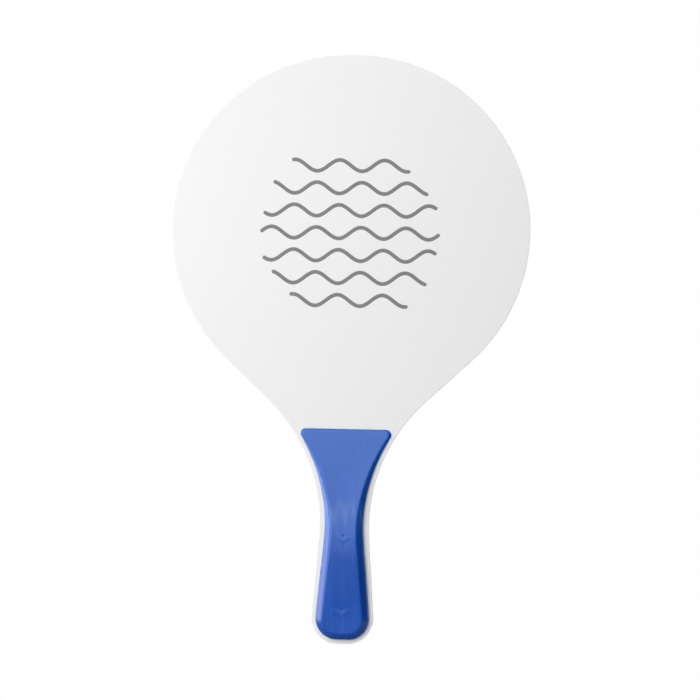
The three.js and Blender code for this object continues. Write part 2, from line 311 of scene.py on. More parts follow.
@dataclass(frozen=True)
class BoardOutline:
    """The board's outline: on each side one chain of tangent arcs and lines, from the butt to the crown."""

    head_width: float = 0.232
    side_arc_share: float = 0.9735
    crown_arc_share: float = 1.103
    neck_length: float = 0.0774
    waist_width: float = 0.0318
    waist_height: float = 0.0763
    throat_arc_share: float = 0.929
    tang_flare: float = math.radians(4.24)
    butt_corner_radius: float = 0.0164
    spacing: float = 0.0016

    @cached_property
    def side_radius(self) -> float:
        """Radius of the arcs at the sides of the head."""
        return self.side_arc_share * self.head_width / 2

    @cached_property
    def crown_radius(self) -> float:
        """Radius of the flatter arc over the head."""
        return self.crown_arc_share * self.head_width / 2

    @cached_property
    def side_centre(self) -> tuple[float, float]:
        """Centre of the right side arc."""
        z = self.waist_height + self.neck_length + self.side_radius
        return self.head_width / 2 - self.side_radius, z

    @cached_property
    def crown_centre_z(self) -> float:
        """Height of the crown arc's centre, which puts the two arcs in touch."""
        x, z = self.side_centre
        return z - math.sqrt((self.crown_radius - self.side_radius) ** 2 - x**2)

    @cached_property
    def crown_angle(self) -> float:
        """Direction from the crown's centre to the point where the side arc begins."""
        x, z = self.side_centre
        return math.atan2(z - self.crown_centre_z, x)

    @cached_property
    def throat_radius(self) -> float:
        """Radius of the hollow arc at the throat: a share of the one that would reach the head alone."""
        x, z = self.side_centre
        run = self.waist_width / 2 - x
        drop = z - self.waist_height
        full = (run**2 + drop**2 - self.side_radius**2) / (2 * (self.side_radius - run))
        return self.throat_arc_share * full

    @cached_property
    def throat_centre_x(self) -> float:
        """The throat arc's centre lies this far out, level with the waist."""
        return self.waist_width / 2 + self.throat_radius

    @cached_property
    def shoulder_lean(self) -> float:
        """How far the straight shoulder leans out from the axis, touching both arcs."""
        run = self.throat_centre_x - self.side_centre[0]
        drop = self.side_centre[1] - self.waist_height
        span = math.hypot(run, drop)
        return math.atan2(drop, run) - math.acos((self.throat_radius + self.side_radius) / span)

    @cached_property
    def tang_top(self) -> tuple[float, float]:
        """Where the tang's straight side meets the throat arc."""
        x = self.throat_centre_x - self.throat_radius * math.cos(self.tang_flare)
        return x, self.waist_height - self.throat_radius * math.sin(self.tang_flare)

    @cached_property
    def butt_centre(self) -> tuple[float, float]:
        """Centre of the butt's right corner, which touches the tang's side and the end."""
        x, z = self.tang_top
        radius = self.butt_corner_radius
        reach = (z - radius) * math.sin(self.tang_flare) - radius
        return x + reach / math.cos(self.tang_flare), radius

    def side(self, z: Values, inset: Values) -> tuple[np.ndarray, np.ndarray]:
        """Half the board's width above its butt corners, drawn in along the normal.

        Args:
            z: Heights.
            inset: How far the outline is drawn in at each height.

        Returns:
            The half widths, and how far the side leans out from the axis there.
        """
        z, inset = np.broadcast_arrays(np.asarray(z, float), np.asarray(inset, float))
        shoulder, flare = self.shoulder_lean, self.tang_flare
        least, most = -math.sin(flare), math.sin(shoulder)
        throat = self.throat_radius + inset
        head = self.side_radius - inset
        throat_sine = (z - self.waist_height) / throat
        head_sine = (self.side_centre[1] - z) / head
        throat_lean = np.arcsin(np.clip(throat_sine, least, most))
        head_lean = np.arcsin(np.clip(head_sine, -1, most))
        start_x = self.throat_centre_x - throat * math.cos(shoulder)
        start_z = self.waist_height + throat * math.sin(shoulder)
        tang_x = self.tang_top[0] - (z - self.tang_top[1]) * math.tan(flare) - inset / math.cos(flare)
        throat_x = self.throat_centre_x - throat * np.cos(throat_lean)
        head_x = self.side_centre[0] + head * np.cos(head_lean)
        cases = [throat_sine < least, throat_sine < most, head_sine < most]
        x = np.select(cases, [tang_x, throat_x, head_x], start_x + (z - start_z) * math.tan(shoulder))
        lean = np.select(cases, [np.full(z.shape, -flare), throat_lean, head_lean], shoulder)
        return x, lean

    def arc(
        self, centre: Sequence[float], radius: float, start: float, end: float, hollow: bool = False
    ) -> np.ndarray:
        """An arc's points and outward normals, without its last: centre + radius (cos a, sin a).

        Args:
            centre: The arc's centre.
            radius: Its radius.
            start: The angle that it starts from.
            end: The angle that it ends at.
            hollow: Whether the board lies outside the arc, so that the normal points to the centre.

        Returns:
            Rows of x, z, normal x and normal z.
        """
        steps = max(2, round(abs(end - start) * radius / self.spacing))
        ray = rays(np.linspace(start, end, steps, endpoint=False))
        return np.hstack([np.asarray(centre) + radius * ray, -ray if hollow else ray])

    def line(self, start: Sequence[float], end: Sequence[float]) -> np.ndarray:
        """A straight side's points and outward normals, without its last.

        Args:
            start: The end that it starts from, as x and z.
            end: Its other end.

        Returns:
            The same rows as an arc's.
        """
        along = np.subtract(end, start)
        length = float(np.hypot(*along))
        steps = max(2, round(length / self.spacing))
        shares = np.linspace(0, 1, steps, endpoint=False)[:, None]
        normal = np.array([along[1], -along[0]]) / length
        return np.hstack([np.asarray(start) + shares * along, np.broadcast_to(normal, (steps, 2))])

    @cached_property
    def right_half(self) -> np.ndarray:
        """The right side from the middle of the butt's end to the top, as rows of x, z and the normal."""
        flare, shoulder = self.tang_flare, self.shoulder_lean
        butt, side = np.array(self.butt_centre), np.array(self.side_centre)
        throat = np.array([self.throat_centre_x, self.waist_height])
        out = rays(-shoulder)
        return np.vstack([
            self.line((0, 0), (butt[0], 0)),
            self.arc(butt, self.butt_corner_radius, -QUARTER_TURN, flare),
            self.line(butt + self.butt_corner_radius * rays(flare), self.tang_top),
            self.arc(throat, self.throat_radius, math.pi + flare, math.pi - shoulder, hollow=True),
            self.line(throat - self.throat_radius * out, side + self.side_radius * out),
            self.arc(side, self.side_radius, -shoulder, 0),
            self.arc(side, self.side_radius, 0, self.crown_angle),
            self.arc((0, self.crown_centre_z), self.crown_radius, self.crown_angle, QUARTER_TURN),
            [[0, self.crown_centre_z + self.crown_radius, 0, 1]],
        ])

    def ring(self) -> np.ndarray:
        """The whole outline: the right half, and its mirror image in the axis from the top down again."""
        left = self.right_half[-2:0:-1] * np.array([-1, 1, -1, 1])
        return np.vstack([self.right_half, left])


@dataclass(frozen=True)
class Fixings:
    """The sizes that the screws, the grips' bosses and the board's holes share."""

    heights: tuple[float, ...] = (0.070, 0.0225)
    screw_radius: float = 0.0015
    head_radius: float = 0.0029
    head_depth: float = 0.0022
    boss_wall: float = 0.0017
    seat_thickness: float = 0.0025
    tip_cover: float = 0.0022
    spigot_relief: float = 0.002
    gap: float = 0.0003
    overrun: float = 0.001
    sides: int = 56

    @property
    def bore_radius(self) -> float:
        """Radius of the bores that the screws pass."""
        return self.screw_radius + self.gap

    @property
    def spigot_radius(self) -> float:
        """Radius of the front grip's bosses and of the spigots in which they end."""
        return self.bore_radius + self.boss_wall

    @property
    def hole_radius(self) -> float:
        """Radius of the board's holes that take the spigots."""
        return self.spigot_radius + self.gap

    @property
    def counterbore_radius(self) -> float:
        """Radius of the wells that hold the screws' heads."""
        return self.head_radius + self.gap


@dataclass
class PaddleBoard:
    """The fibreboard paddle: two flat faces, an edge rounded all round, and holes for the grip's spigots."""

    outline: BoardOutline
    fixings: Fixings
    thickness: float = 0.005
    edge_radius: float = 0.00025
    edge_steps: int = 5
    support: float = 0.0005
    lattice: float = 0.009

    def edge_lines(self) -> np.ndarray:
        """The edge's section from the front face to the rear one.

        A line just inside the rounding keeps the flat face's normals true. Then the rounding runs through a
        quarter turn, with its inset r (1 - sin a) and its place on Y at r cos a off its centre.

        Returns:
            Rows of inset and Y.
        """
        angles = np.linspace(0, QUARTER_TURN, self.edge_steps + 1)
        inset = self.edge_radius * (1 - np.sin(angles))
        y = -(self.thickness / 2 - self.edge_radius + self.edge_radius * np.cos(angles))
        inner = [self.edge_radius + self.support, -self.thickness / 2]
        front = np.vstack([inner, np.column_stack([inset, y])])
        return np.vstack([front, front[::-1] * np.array([1, -1])])

    def inner_points(self, loop: np.ndarray) -> np.ndarray:
        """A field of points for the flat face, in rows that are half a step apart.

        Args:
            loop: The face's outer edge.

        Returns:
            Rows of x and z, clear of the edge and the holes.
        """
        right, reach, step = self.outline.right_half, self.outline.head_width / 2, self.lattice
        rows = np.arange(step / 2, right[-1, 1], step * math.sin(math.pi / 3))
        x, z = np.meshgrid(np.arange(-reach, reach, step), rows)
        x = x + (np.arange(len(rows)) % 2)[:, None] * step / 2
        points = np.column_stack([x.ravel(), z.ravel()])
        points = points[np.abs(points[:, 0]) < np.interp(points[:, 1], right[:, 1], right[:, 0])]
        clear = np.min(np.hypot(*(points[:, None] - loop[None]).transpose(2, 0, 1)), axis=1) > step / 2
        return points[clear & self.off_holes(points, step / 4)]

    def off_holes(self, points: np.ndarray, margin: float = 0.0) -> np.ndarray:
        """Which of some rows of x and z lie outside the holes, by more than a margin."""
        apart = [np.hypot(points[:, 0], points[:, 1] - height) for height in self.fixings.heights]
        return np.min(apart, axis=0) > self.fixings.hole_radius + margin

    def hole_loops(self) -> list[np.ndarray]:
        """The rim of each hole, as rows of x and z."""
        circle = self.fixings.hole_radius * rays(turn_angles(self.fixings.sides))
        return [circle + np.array([0, height]) for height in self.fixings.heights]

    def face_patch(self, loop: np.ndarray, y: float) -> Patch:
        """Fills the flat face between its edge and its holes with triangles.

        Args:
            loop: The face's outer edge.
            y: Where the face lies.

        Returns:
            The face.
        """
        loops = [loop, *self.hole_loops()]
        edges = []
        for ring in loops:
            ids = len(edges) + np.arange(len(ring))
            edges += zip(ids.tolist(), np.roll(ids, -1).tolist())
        flat = np.vstack([*loops, self.inner_points(loop)])
        found = delaunay_2d_cdt([Vector(point) for point in flat.tolist()], edges, [], 1, WELD)
        _, _, faces, sources, _, _ = found
        triangles = np.array([source[0] for source in sources])[np.array(faces)]
        triangles = triangles[self.off_holes(flat[triangles].mean(axis=1))]
        return Patch(set_on_y(flat, y), triangles[:, [0, 1, 2, 2]])

    def mesh(self) -> bpy.types.Mesh:
        """The whole board: its edge carried round the outline, its two faces and the walls of its holes.

        Returns:
            The board's mesh.
        """
        ring, lines, half = self.outline.ring(), self.edge_lines(), self.thickness / 2
        flat = ring[None, :, :2] - lines[:, None, :1] * ring[None, :, 2:]
        skin = grid_patch(set_on_y(flat, lines[:, 1:]), closed=True)
        faces = [self.face_patch(flat[0], -half), self.face_patch(flat[-1], half)]
        walls = [np.stack([set_on_y(loop, -half), set_on_y(loop, half)]) for loop in self.hole_loops()]
        return mesh_of("paddle_board", [skin, *faces, *(grid_patch(wall, closed=True) for wall in walls)])

    def build(self, material: bpy.types.Material) -> None:
        """Makes the board and dresses it in its finish."""
        shown("paddle_board", self.mesh(), material, "blade", slot="board_lacquer")


@dataclass(frozen=True)
class SkinBase:
    """What a row of lines round the grip follows.

    Its surface lies a wall's thickness inside the skin. It has a top with rounded corners, and close grids
    with the face's marks where it is fine.
    """

    wall: float
    top: float
    corner: float
    fine: bool = False


@dataclass(frozen=True)
class SkinLine:
    """A line round the grip: how far it is drawn in from its base, and its height off the board.

    Each is a length plus a share of the face's depth there, and the height is never below the least one.
    """

    drawn: float = 0.0
    height: float = 0.0
    drawn_share: float = 0.0
    height_share: float = 0.0
    least_height: float = -math.inf


@dataclass
class GripShell:
    """One moulded half of the grip: steep sides, a chamfer, a soft face edge, a level face and a ramp.

    Inside it is a hollow shell with a spine, cross ribs and two bosses.
    """

    outline: BoardOutline
    fixings: Fixings
    face: Face
    board_half: float
    length: float = 0.136
    inset: float = 0.0026
    waist_tuck: float = 0.00075
    tuck_reach: float = 0.06
    depth: float = 0.007
    toe_depth: float = 0.0016
    knee_height: float = 0.067
    knee_reach: float = 0.013
    draft: float = math.radians(10)
    chamfer_lean: float = math.radians(43)
    arris_height_share: float = 0.4
    arris_radius_share: float = 0.3
    face_edge_radius: float = 0.0024
    foot_radius: float = 0.00025
    toe_corner_radius: float = 0.0034
    wall: float = 0.002
    least_cavity_depth: float = 0.001
    cavity_corner_radius: float = 0.0018
    rib_thickness: float = 0.0012
    rib_spacing: float = 0.016
    rib_relief: float = 0.0005
    well_edge_radius: float = 0.0003
    well_mouth_depth: float = 0.00175
    hollow_start: float = 0.058
    hollow_bottom: float = 0.092
    hollow_depth: float = 0.0004
    ridge_height: float = 0.00012
    ridge_reach: float = 0.0018
    ridge_drop: float = 0.0009
    ridge_half_width: float = 0.007
    sink_reach: float = 0.0054
    vee_depth: float = 0.002
    vee_reach: float = 0.0022
    pit_radius: float = 0.00085
    pit_depth: float = 0.0006
    close_reach: float = 0.0045
    clear_reach: float = 0.00495
    close_rows: int = 41
    columns: int = 45
    even_column_share: float = 0.22
    side_step: float = 0.0011
    coarse_step: float = 0.0044
    butt_steps: int = 20
    toe_steps: int = 8
    foot_steps: int = 5
    arris_steps: int = 5
    wall_steps: int = 4
    edge_steps: int = 10
    mouth_steps: int = 6

    @property
    def top(self) -> float:
        """Height of the grip's upper edge."""
        return self.inset + self.length

    @property
    def ramp_slope(self) -> float:
        """Fall of the ramp for each unit of height."""
        return (self.depth - self.toe_depth) / (self.top - self.knee_height)

    @property
    def cavity_top(self) -> float:
        """Where the hollow ends, because the toe gets too thin or its end wall begins."""
        end = self.knee_height + (self.depth - self.wall - self.least_cavity_depth) / self.ramp_slope
        return min(end, self.top - self.wall)

    @property
    def bend(self) -> float:
        """How much more the chamfer goes in for each unit of height than the side below it."""
        return math.tan(self.chamfer_lean) - math.tan(self.draft)

    @property
    def screw_tip(self) -> float:
        """How far off the board the screws end."""
        return float(min(self.face_depth(np.array(self.fixings.heights)))) - self.fixings.tip_cover

    def face_depth(self, z: Values) -> np.ndarray:
        """How far the face stands off the board: level, then a parabola through the knee, then a ramp.

        Args:
            z: Heights on the grip.

        Returns:
            The depths there.
        """
        past = np.asarray(z, float) - self.knee_height
        bend = self.ramp_slope * (past + self.knee_reach) ** 2 / (4 * self.knee_reach)
        fall = np.where(past >= self.knee_reach, self.ramp_slope * past, bend)
        return self.depth - np.where(past <= -self.knee_reach, 0, fall)

    def face_lean(self, z: float) -> float:
        """The angle at which the face falls away at a height."""
        past = min(max(z - self.knee_height, -self.knee_reach), self.knee_reach)
        return math.atan(self.ramp_slope * (past + self.knee_reach) / (2 * self.knee_reach))

    def tuck(self, z: Values) -> np.ndarray:
        """How much further the sides are drawn in near the waist: h (1 + cos(pi d / reach)) / 2."""
        away = np.clip(np.abs(z - self.outline.waist_height) / self.tuck_reach, 0, 1)
        return self.waist_tuck * (1 + np.cos(math.pi * away)) / 2

    def widening(self, wall: float) -> float:
        """How much wider a wall is along the board in the chamfer than in the side below it."""
        return wall / math.cos(self.chamfer_lean) - wall / math.cos(self.draft)

    def side_draw(self, face: Values, height: Values, wall: float) -> np.ndarray:
        """How far a surface a wall's thickness inside the skin lies in from the skin's foot.

        It is wall / cos(draft) + tan(draft) height, and in the chamfer the bend times the height over the
        arris more.

        Args:
            face: The face's depth there.
            height: Its height off the board.
            wall: The wall's thickness.

        Returns:
            The distances along the board.
        """
        above = height - self.arris_height_share * face
        chamfer = np.maximum(0, self.bend * above + self.widening(wall))
        return wall / math.cos(self.draft) + math.tan(self.draft) * height + chamfer

    def relief(self, x: np.ndarray, z: np.ndarray) -> np.ndarray:
        """How far the face dips below its true surface.

        The ramp is a little hollow above the knee: the dip is a smooth step down to the hollow's bottom,
        times a smooth step back up to the toe. On the front, by each boss, the plastic has also sunk either
        side of a low ridge across the grip, exp(-d^2 / r^2) high, which sags to a V in the middle, and the
        core pin left a pit.

        Args:
            x: Places across the face.
            z: Heights on it.

        Returns:
            The dip at each place.
        """
        down = smooth_step((z - self.hollow_start) / (self.hollow_bottom - self.hollow_start))
        back = smooth_step((z - self.hollow_bottom) / (self.top - self.hollow_bottom))
        dip = self.hollow_depth * down * (1 - back)
        if self.face is Face.REAR:
            return dip
        side = (x / self.ridge_half_width) ** 4
        for height in self.fixings.heights:
            off = z - height + self.ridge_drop + self.vee_depth * np.exp(-((x / self.vee_reach) ** 2))
            sink = np.exp(-((off / self.sink_reach) ** 2) - side)
            ridge = np.exp(-((off / self.ridge_reach) ** 2) - side)
            pit = smooth_step(1 - np.hypot(x, z - height) / self.pit_radius)
            dip += self.ridge_height * (sink - ridge) + self.pit_depth * pit
        return dip

    def side_shares(self, fine: bool) -> np.ndarray:
        """Stations up the grip's side.

        Args:
            fine: Whether they are close, with closer ones yet by the marks on the face.

        Returns:
            Shares of the way up.
        """
        start, end = self.outline.butt_centre[1], self.top - self.toe_corner_radius
        step = self.side_step if fine else self.coarse_step
        even = np.linspace(0, 1, round((end - start) / step) + 1)
        if not fine:
            return even
        marks = (np.array(self.fixings.heights)[:, None] - start) / (end - start)
        clear = (np.abs(even - marks) > self.clear_reach / (end - start)).all(axis=0)
        near = marks + self.close_reach / (end - start) * np.linspace(-1, 1, self.close_rows)
        return np.unique(np.concatenate([even[clear], near.ravel()]))

    def chain(self, base: SkinBase, line: SkinLine) -> np.ndarray:
        """The right half of one line round the grip, from the butt to the toe.

        The board's outline is drawn in by the rim, the tuck, the side's slope and the line's own share. It is
        cut off straight at the top, with rounded corners.

        Args:
            base: What the line follows.
            line: The line.

        Returns:
            Rows of x, height off the board and z.
        """
        def height_at(z: Values) -> np.ndarray:
            """The line's height off the board."""
            return np.maximum(line.least_height, line.height + line.height_share * self.face_depth(z))

        def draw_at(z: Values) -> np.ndarray:
            """How far in the line lies from the skin's foot."""
            face = self.face_depth(z)
            return line.drawn + line.drawn_share * face + self.side_draw(face, height_at(z), base.wall)

        def inset_at(z: Values) -> np.ndarray:
            """How far in the line lies from the board's outline."""
            return self.inset + self.tuck(z) + draw_at(z)

        corner = base.corner + base.wall / math.cos(self.draft) - float(draw_at(base.top))
        corner_z = base.top - base.corner
        corner_x, lean = self.outline.side(corner_z, inset_at(corner_z) + corner)
        butt_radius = self.outline.butt_corner_radius - float(inset_at(0.0))
        butt_angles = np.linspace(-QUARTER_TURN, self.outline.tang_flare, self.butt_steps + 1)
        toe_angles = np.linspace(-float(lean), QUARTER_TURN, self.toe_steps + 1)
        butt = np.array(self.outline.butt_centre) + butt_radius * rays(butt_angles)
        toe = np.array([float(corner_x), corner_z]) + corner * rays(toe_angles)
        z = butt[-1, 1] + self.side_shares(base.fine)[1:-1] * (toe[0, 1] - butt[-1, 1])
        x, _ = self.outline.side(z, inset_at(z))
        flat = np.vstack([butt, np.column_stack([x, z]), toe])
        return set_on_y(flat, height_at(flat[:, 1]))

    def across(self, fine: bool) -> np.ndarray:
        """Columns across the grip: its two sides, or close ones, closest in the middle where the marks are.

        Args:
            fine: Whether they are close. Then they lie at a s + (1 - a) s^3 for s from one side to the other.

        Returns:
            Shares of its half width.
        """
        if not fine:
            return np.array([1.0, -1.0])
        even = np.linspace(1, -1, self.columns)
        return self.even_column_share * even + (1 - self.even_column_share) * even**3

    def rows_across(self, chain: np.ndarray, fine: bool) -> np.ndarray:
        """A grid between a chain and its mirror image, whose rows run level from right to left.

        Args:
            chain: The grid's right side.
            fine: Whether it has close columns.

        Returns:
            The grid.
        """
        x = chain[:, None, 0] * self.across(fine)
        rest = np.broadcast_to(chain[:, None, 1:], (*x.shape, 2))
        return np.concatenate([x[..., None], rest], axis=-1)

    def loop(self, chain: np.ndarray, fine: bool) -> np.ndarray:
        """A whole line round the grip: up the right side, over the top, down the left side and back."""
        grid = self.rows_across(chain, fine)
        return np.concatenate([grid[:, 0], grid[-1, 1:-1], grid[::-1, -1], grid[0, -2:0:-1]])

    def meshed(self, name: str, *patches: Patch) -> bpy.types.Mesh:
        """Makes a mesh on the shell's own side of the board.

        Args:
            name: The mesh's name.
            patches: Its parts, with heights off the board in the place of Y.

        Returns:
            The mesh.
        """
        side = np.array([1, self.face.value, 1])
        base = np.array([0, self.board_half, 0])
        return mesh_of(name, [Patch(side * (patch.points + base), patch.corners) for patch in patches])

    def solid(self, name: str, base: SkinBase, lines: Sequence[SkinLine]) -> bpy.types.Mesh:
        """A closed solid through a row of lines round the grip.

        Args:
            name: The mesh's name.
            base: What the lines follow. Where it is fine, the face has its marks, which leave its rim alone.
            lines: The lines in order, the last of them round the face.

        Returns:
            The solid.
        """
        chains = [self.chain(base, line) for line in lines]
        wall = np.stack([self.loop(chain, base.fine) for chain in chains])
        low, high = self.rows_across(chains[0], base.fine), self.rows_across(chains[-1], base.fine)
        if base.fine:
            inner = high[1:-1]
            inner[..., 1] -= self.relief(inner[..., 0], inner[..., 2]) * (1 - self.across(True) ** 2)
        return self.meshed(name, grid_patch(wall, closed=True), grid_patch(low), grid_patch(high))

    def foot_lines(self) -> list[SkinLine]:
        """The small rounding where the side meets the board.

        The circle touches both. At angle a its height is f (1 + sin a), and it is drawn in by
        f / cos d - f cos a - f tan d sin a more than the side's slope, where d is the draft.

        Returns:
            Its lines, upwards.
        """
        f, d = self.foot_radius, self.draft
        angles = np.linspace(-QUARTER_TURN, d, self.foot_steps + 1)
        drawn = f / math.cos(d) - f * np.cos(angles) - f * math.tan(d) * np.sin(angles)
        return [SkinLine(inward, height) for inward, height in zip(drawn, f * (1 + np.sin(angles)))]

    def arris_lines(self) -> list[SkinLine]:
        """The rounding between side and chamfer, whose radius is a share of the face's depth.

        The circle touches both, and leaves the side tan((lean - draft) / 2) before the sharp edge. From
        there, at angle a, it has risen sin a - sin d and gone in cos d - cos a, less what the two slopes
        already take.

        Returns:
            Its lines, upwards.
        """
        d, lean = self.draft, self.chamfer_lean
        angles = np.linspace(d, lean, self.arris_steps + 1)
        climbed = np.sin(angles) - math.sin(d)
        rise = climbed - math.tan((lean - d) / 2) * math.cos(d)
        drawn = math.cos(d) - np.cos(angles) - math.tan(d) * climbed - self.bend * np.maximum(0, rise)
        heights = self.arris_height_share + self.arris_radius_share * rise
        shares = zip(self.arris_radius_share * drawn, heights)
        return [SkinLine(drawn_share=inward, height_share=height) for inward, height in shares]

    def edge_lines(self) -> list[SkinLine]:
        """The rounding between chamfer and face, whose circle touches both.

        Returns:
            Its lines, upwards.
        """
        r, d = self.face_edge_radius, self.chamfer_lean
        tangent = r * math.cos(d) / (1 + math.sin(d))
        angles = np.linspace(d, QUARTER_TURN, self.edge_steps + 1)
        under = r * (1 - np.sin(angles))
        drawn = tangent - r * np.cos(angles) + math.tan(d) * under
        return [SkinLine(inward, -drop, height_share=1.0) for inward, drop in zip(drawn, under)]

    def skin_lines(self) -> list[SkinLine]:
        """All the lines of the outer skin, with the chamfer's at even shares of the way up it.

        Returns:
            The lines from the foot on the board to the edge of the face.
        """
        arris, edge = self.arris_lines(), self.edge_lines()
        first, last = arris[-1].height_share, edge[0].height
        chamfer = [
            SkinLine(height=share * last, height_share=first + share * (1 - first))
            for share in np.linspace(0, 1, self.wall_steps + 1)[1:-1]
        ]
        return [*self.foot_lines(), *arris, *chamfer, *edge]

    def space_inside(self, name: str, wall: float, low: float) -> bpy.types.Mesh:
        """The space a wall's thickness inside the skin.

        Args:
            name: The mesh's name.
            wall: How far inside the skin its sides and its roof lie.
            low: The height off the board at which it begins.

        Returns:
            The space as a solid.
        """
        more = self.wall - wall
        base = SkinBase(wall, self.cavity_top + more, self.cavity_corner_radius + more)
        drop = self.widening(wall) / self.bend
        return self.solid(name, base, [
            SkinLine(height=low),
            SkinLine(height=-drop, height_share=self.arris_height_share, least_height=max(0.0, low)),
            SkinLine(height=-wall, height_share=1.0),
        ])

    def block(self, name: str, reach: float, low: float, high: float) -> bpy.types.Mesh:
        """A box that stands off the board as far as the face, of a half width and between two heights."""
        return self.meshed(name, box_patch((-reach, 0, low), (reach, self.depth, high)))

    def lattice(self) -> bpy.types.Mesh:
        """The spine and the cross ribs, kept to the space between the half walls.

        Returns:
            Their mesh, as one solid.
        """
        foot, thick, reach = self.inset + self.wall, self.rib_thickness / 2, self.outline.head_width / 2
        length = self.cavity_top - foot
        count = max(1, round(length / self.rib_spacing) - 1)
        heights = foot + length * np.arange(1, count + 1) / (count + 1)
        ribs = [self.block("rib", reach, z - thick, z + thick) for z in heights]
        space = self.space_inside("rib_space", self.wall / 2, self.rib_relief)
        steps = [*((Joining.JOIN, rib) for rib in ribs), (Joining.KEEP, space)]
        return combined("lattice", self.block("spine", thick, foot, self.cavity_top), steps)

    def bar(
        self,
        name: str,
        height: float,
        profile: Sequence[Sequence[float]],
        off: float = 0.0,
        lean: float = 0.0,
    ) -> bpy.types.Mesh:
        """A turned solid through the shell.

        Args:
            name: The mesh's name.
            height: The height on the grip at which it is set.
            profile: Rows of its radius and how far out they are from its seat.
            off: How far off the board its seat is.
            lean: How far it leans.

        Returns:
            The solid.
        """
        turned = turned_patch(np.array(profile), self.fixings.sides)
        return self.meshed(name, moved(turned, (0, off, height), lean))

    def post(self, name: str, height: float, radius: float, low: float, high: float) -> bpy.types.Mesh:
        """A plain round bar from one distance off the board to another."""
        return self.bar(name, height, [(radius, low), (radius, high)])

    def boss_root(self, height: float) -> float:
        """How far off the board a boss ends, in the middle of the face's wall."""
        return float(self.face_depth(height)) - self.wall / 2

    def front_steps(self, height: float) -> list[tuple[Joining, bpy.types.Mesh]]:
        """A front boss, which goes on as a chamfered spigot into the board's hole, and its pilot bore.

        Args:
            height: The boss's height on the grip.

        Returns:
            What is joined and cut.
        """
        fix, radius = self.fixings, self.fixings.spigot_radius
        end = fix.spigot_relief - 2 * self.board_half
        boss = [(radius - fix.gap, end), (radius, end + fix.gap), (radius, self.boss_root(height))]
        bore = self.post("bore", height, fix.bore_radius, end - fix.overrun, self.screw_tip + fix.gap)
        return [(Joining.JOIN, self.bar("boss", height, boss)), (Joining.CUT, bore)]

    def rear_steps(self, height: float) -> list[tuple[Joining, bpy.types.Mesh]]:
        """A rear boss with its screw hole, and the well for the screw's head with a rounded mouth.

        Args:
            height: The boss's height on the grip.

        Returns:
            What is joined and cut.
        """
        fix, edge = self.fixings, self.well_edge_radius
        well, out = fix.counterbore_radius, self.depth + fix.overrun
        angles = np.linspace(math.pi, QUARTER_TURN, self.mouth_steps + 1)
        mouth = np.array([well + edge, -edge]) + edge * rays(angles)
        lip = np.vstack([[well, -self.well_mouth_depth], mouth, [mouth[-1, 0], fix.overrun]])
        face, lean = float(self.face_depth(height)), -self.face_lean(height)
        return [
            (Joining.JOIN, self.post("boss", height, well + fix.boss_wall, 0.0, self.boss_root(height))),
            (Joining.CUT, self.post("bore", height, fix.bore_radius, -fix.overrun, out)),
            (Joining.CUT, self.post("well", height, well, fix.seat_thickness, out)),
            (Joining.CUT, self.bar("well_mouth", height, lip, face, lean)),
        ]

    def build(self, material: bpy.types.Material) -> None:
        """Makes the shell, its hollow, ribs and bosses, and dresses it.

        Args:
            material: Its finish.
        """
        name = f"{self.face.name.lower()}_grip"
        base = SkinBase(0.0, self.top, self.toe_corner_radius, fine=True)
        hollow = self.space_inside("cavity", self.wall, -self.fixings.overrun)
        steps = [(Joining.CUT, hollow), (Joining.JOIN, self.lattice())]
        for height in self.fixings.heights:
            steps += self.front_steps(height) if self.face is Face.FRONT else self.rear_steps(height)
        mesh = combined(name, self.solid("grip_skin", base, self.skin_lines()), steps)
        shown(name, mesh, material, f"{name}_shell", slot="grip_plastic")


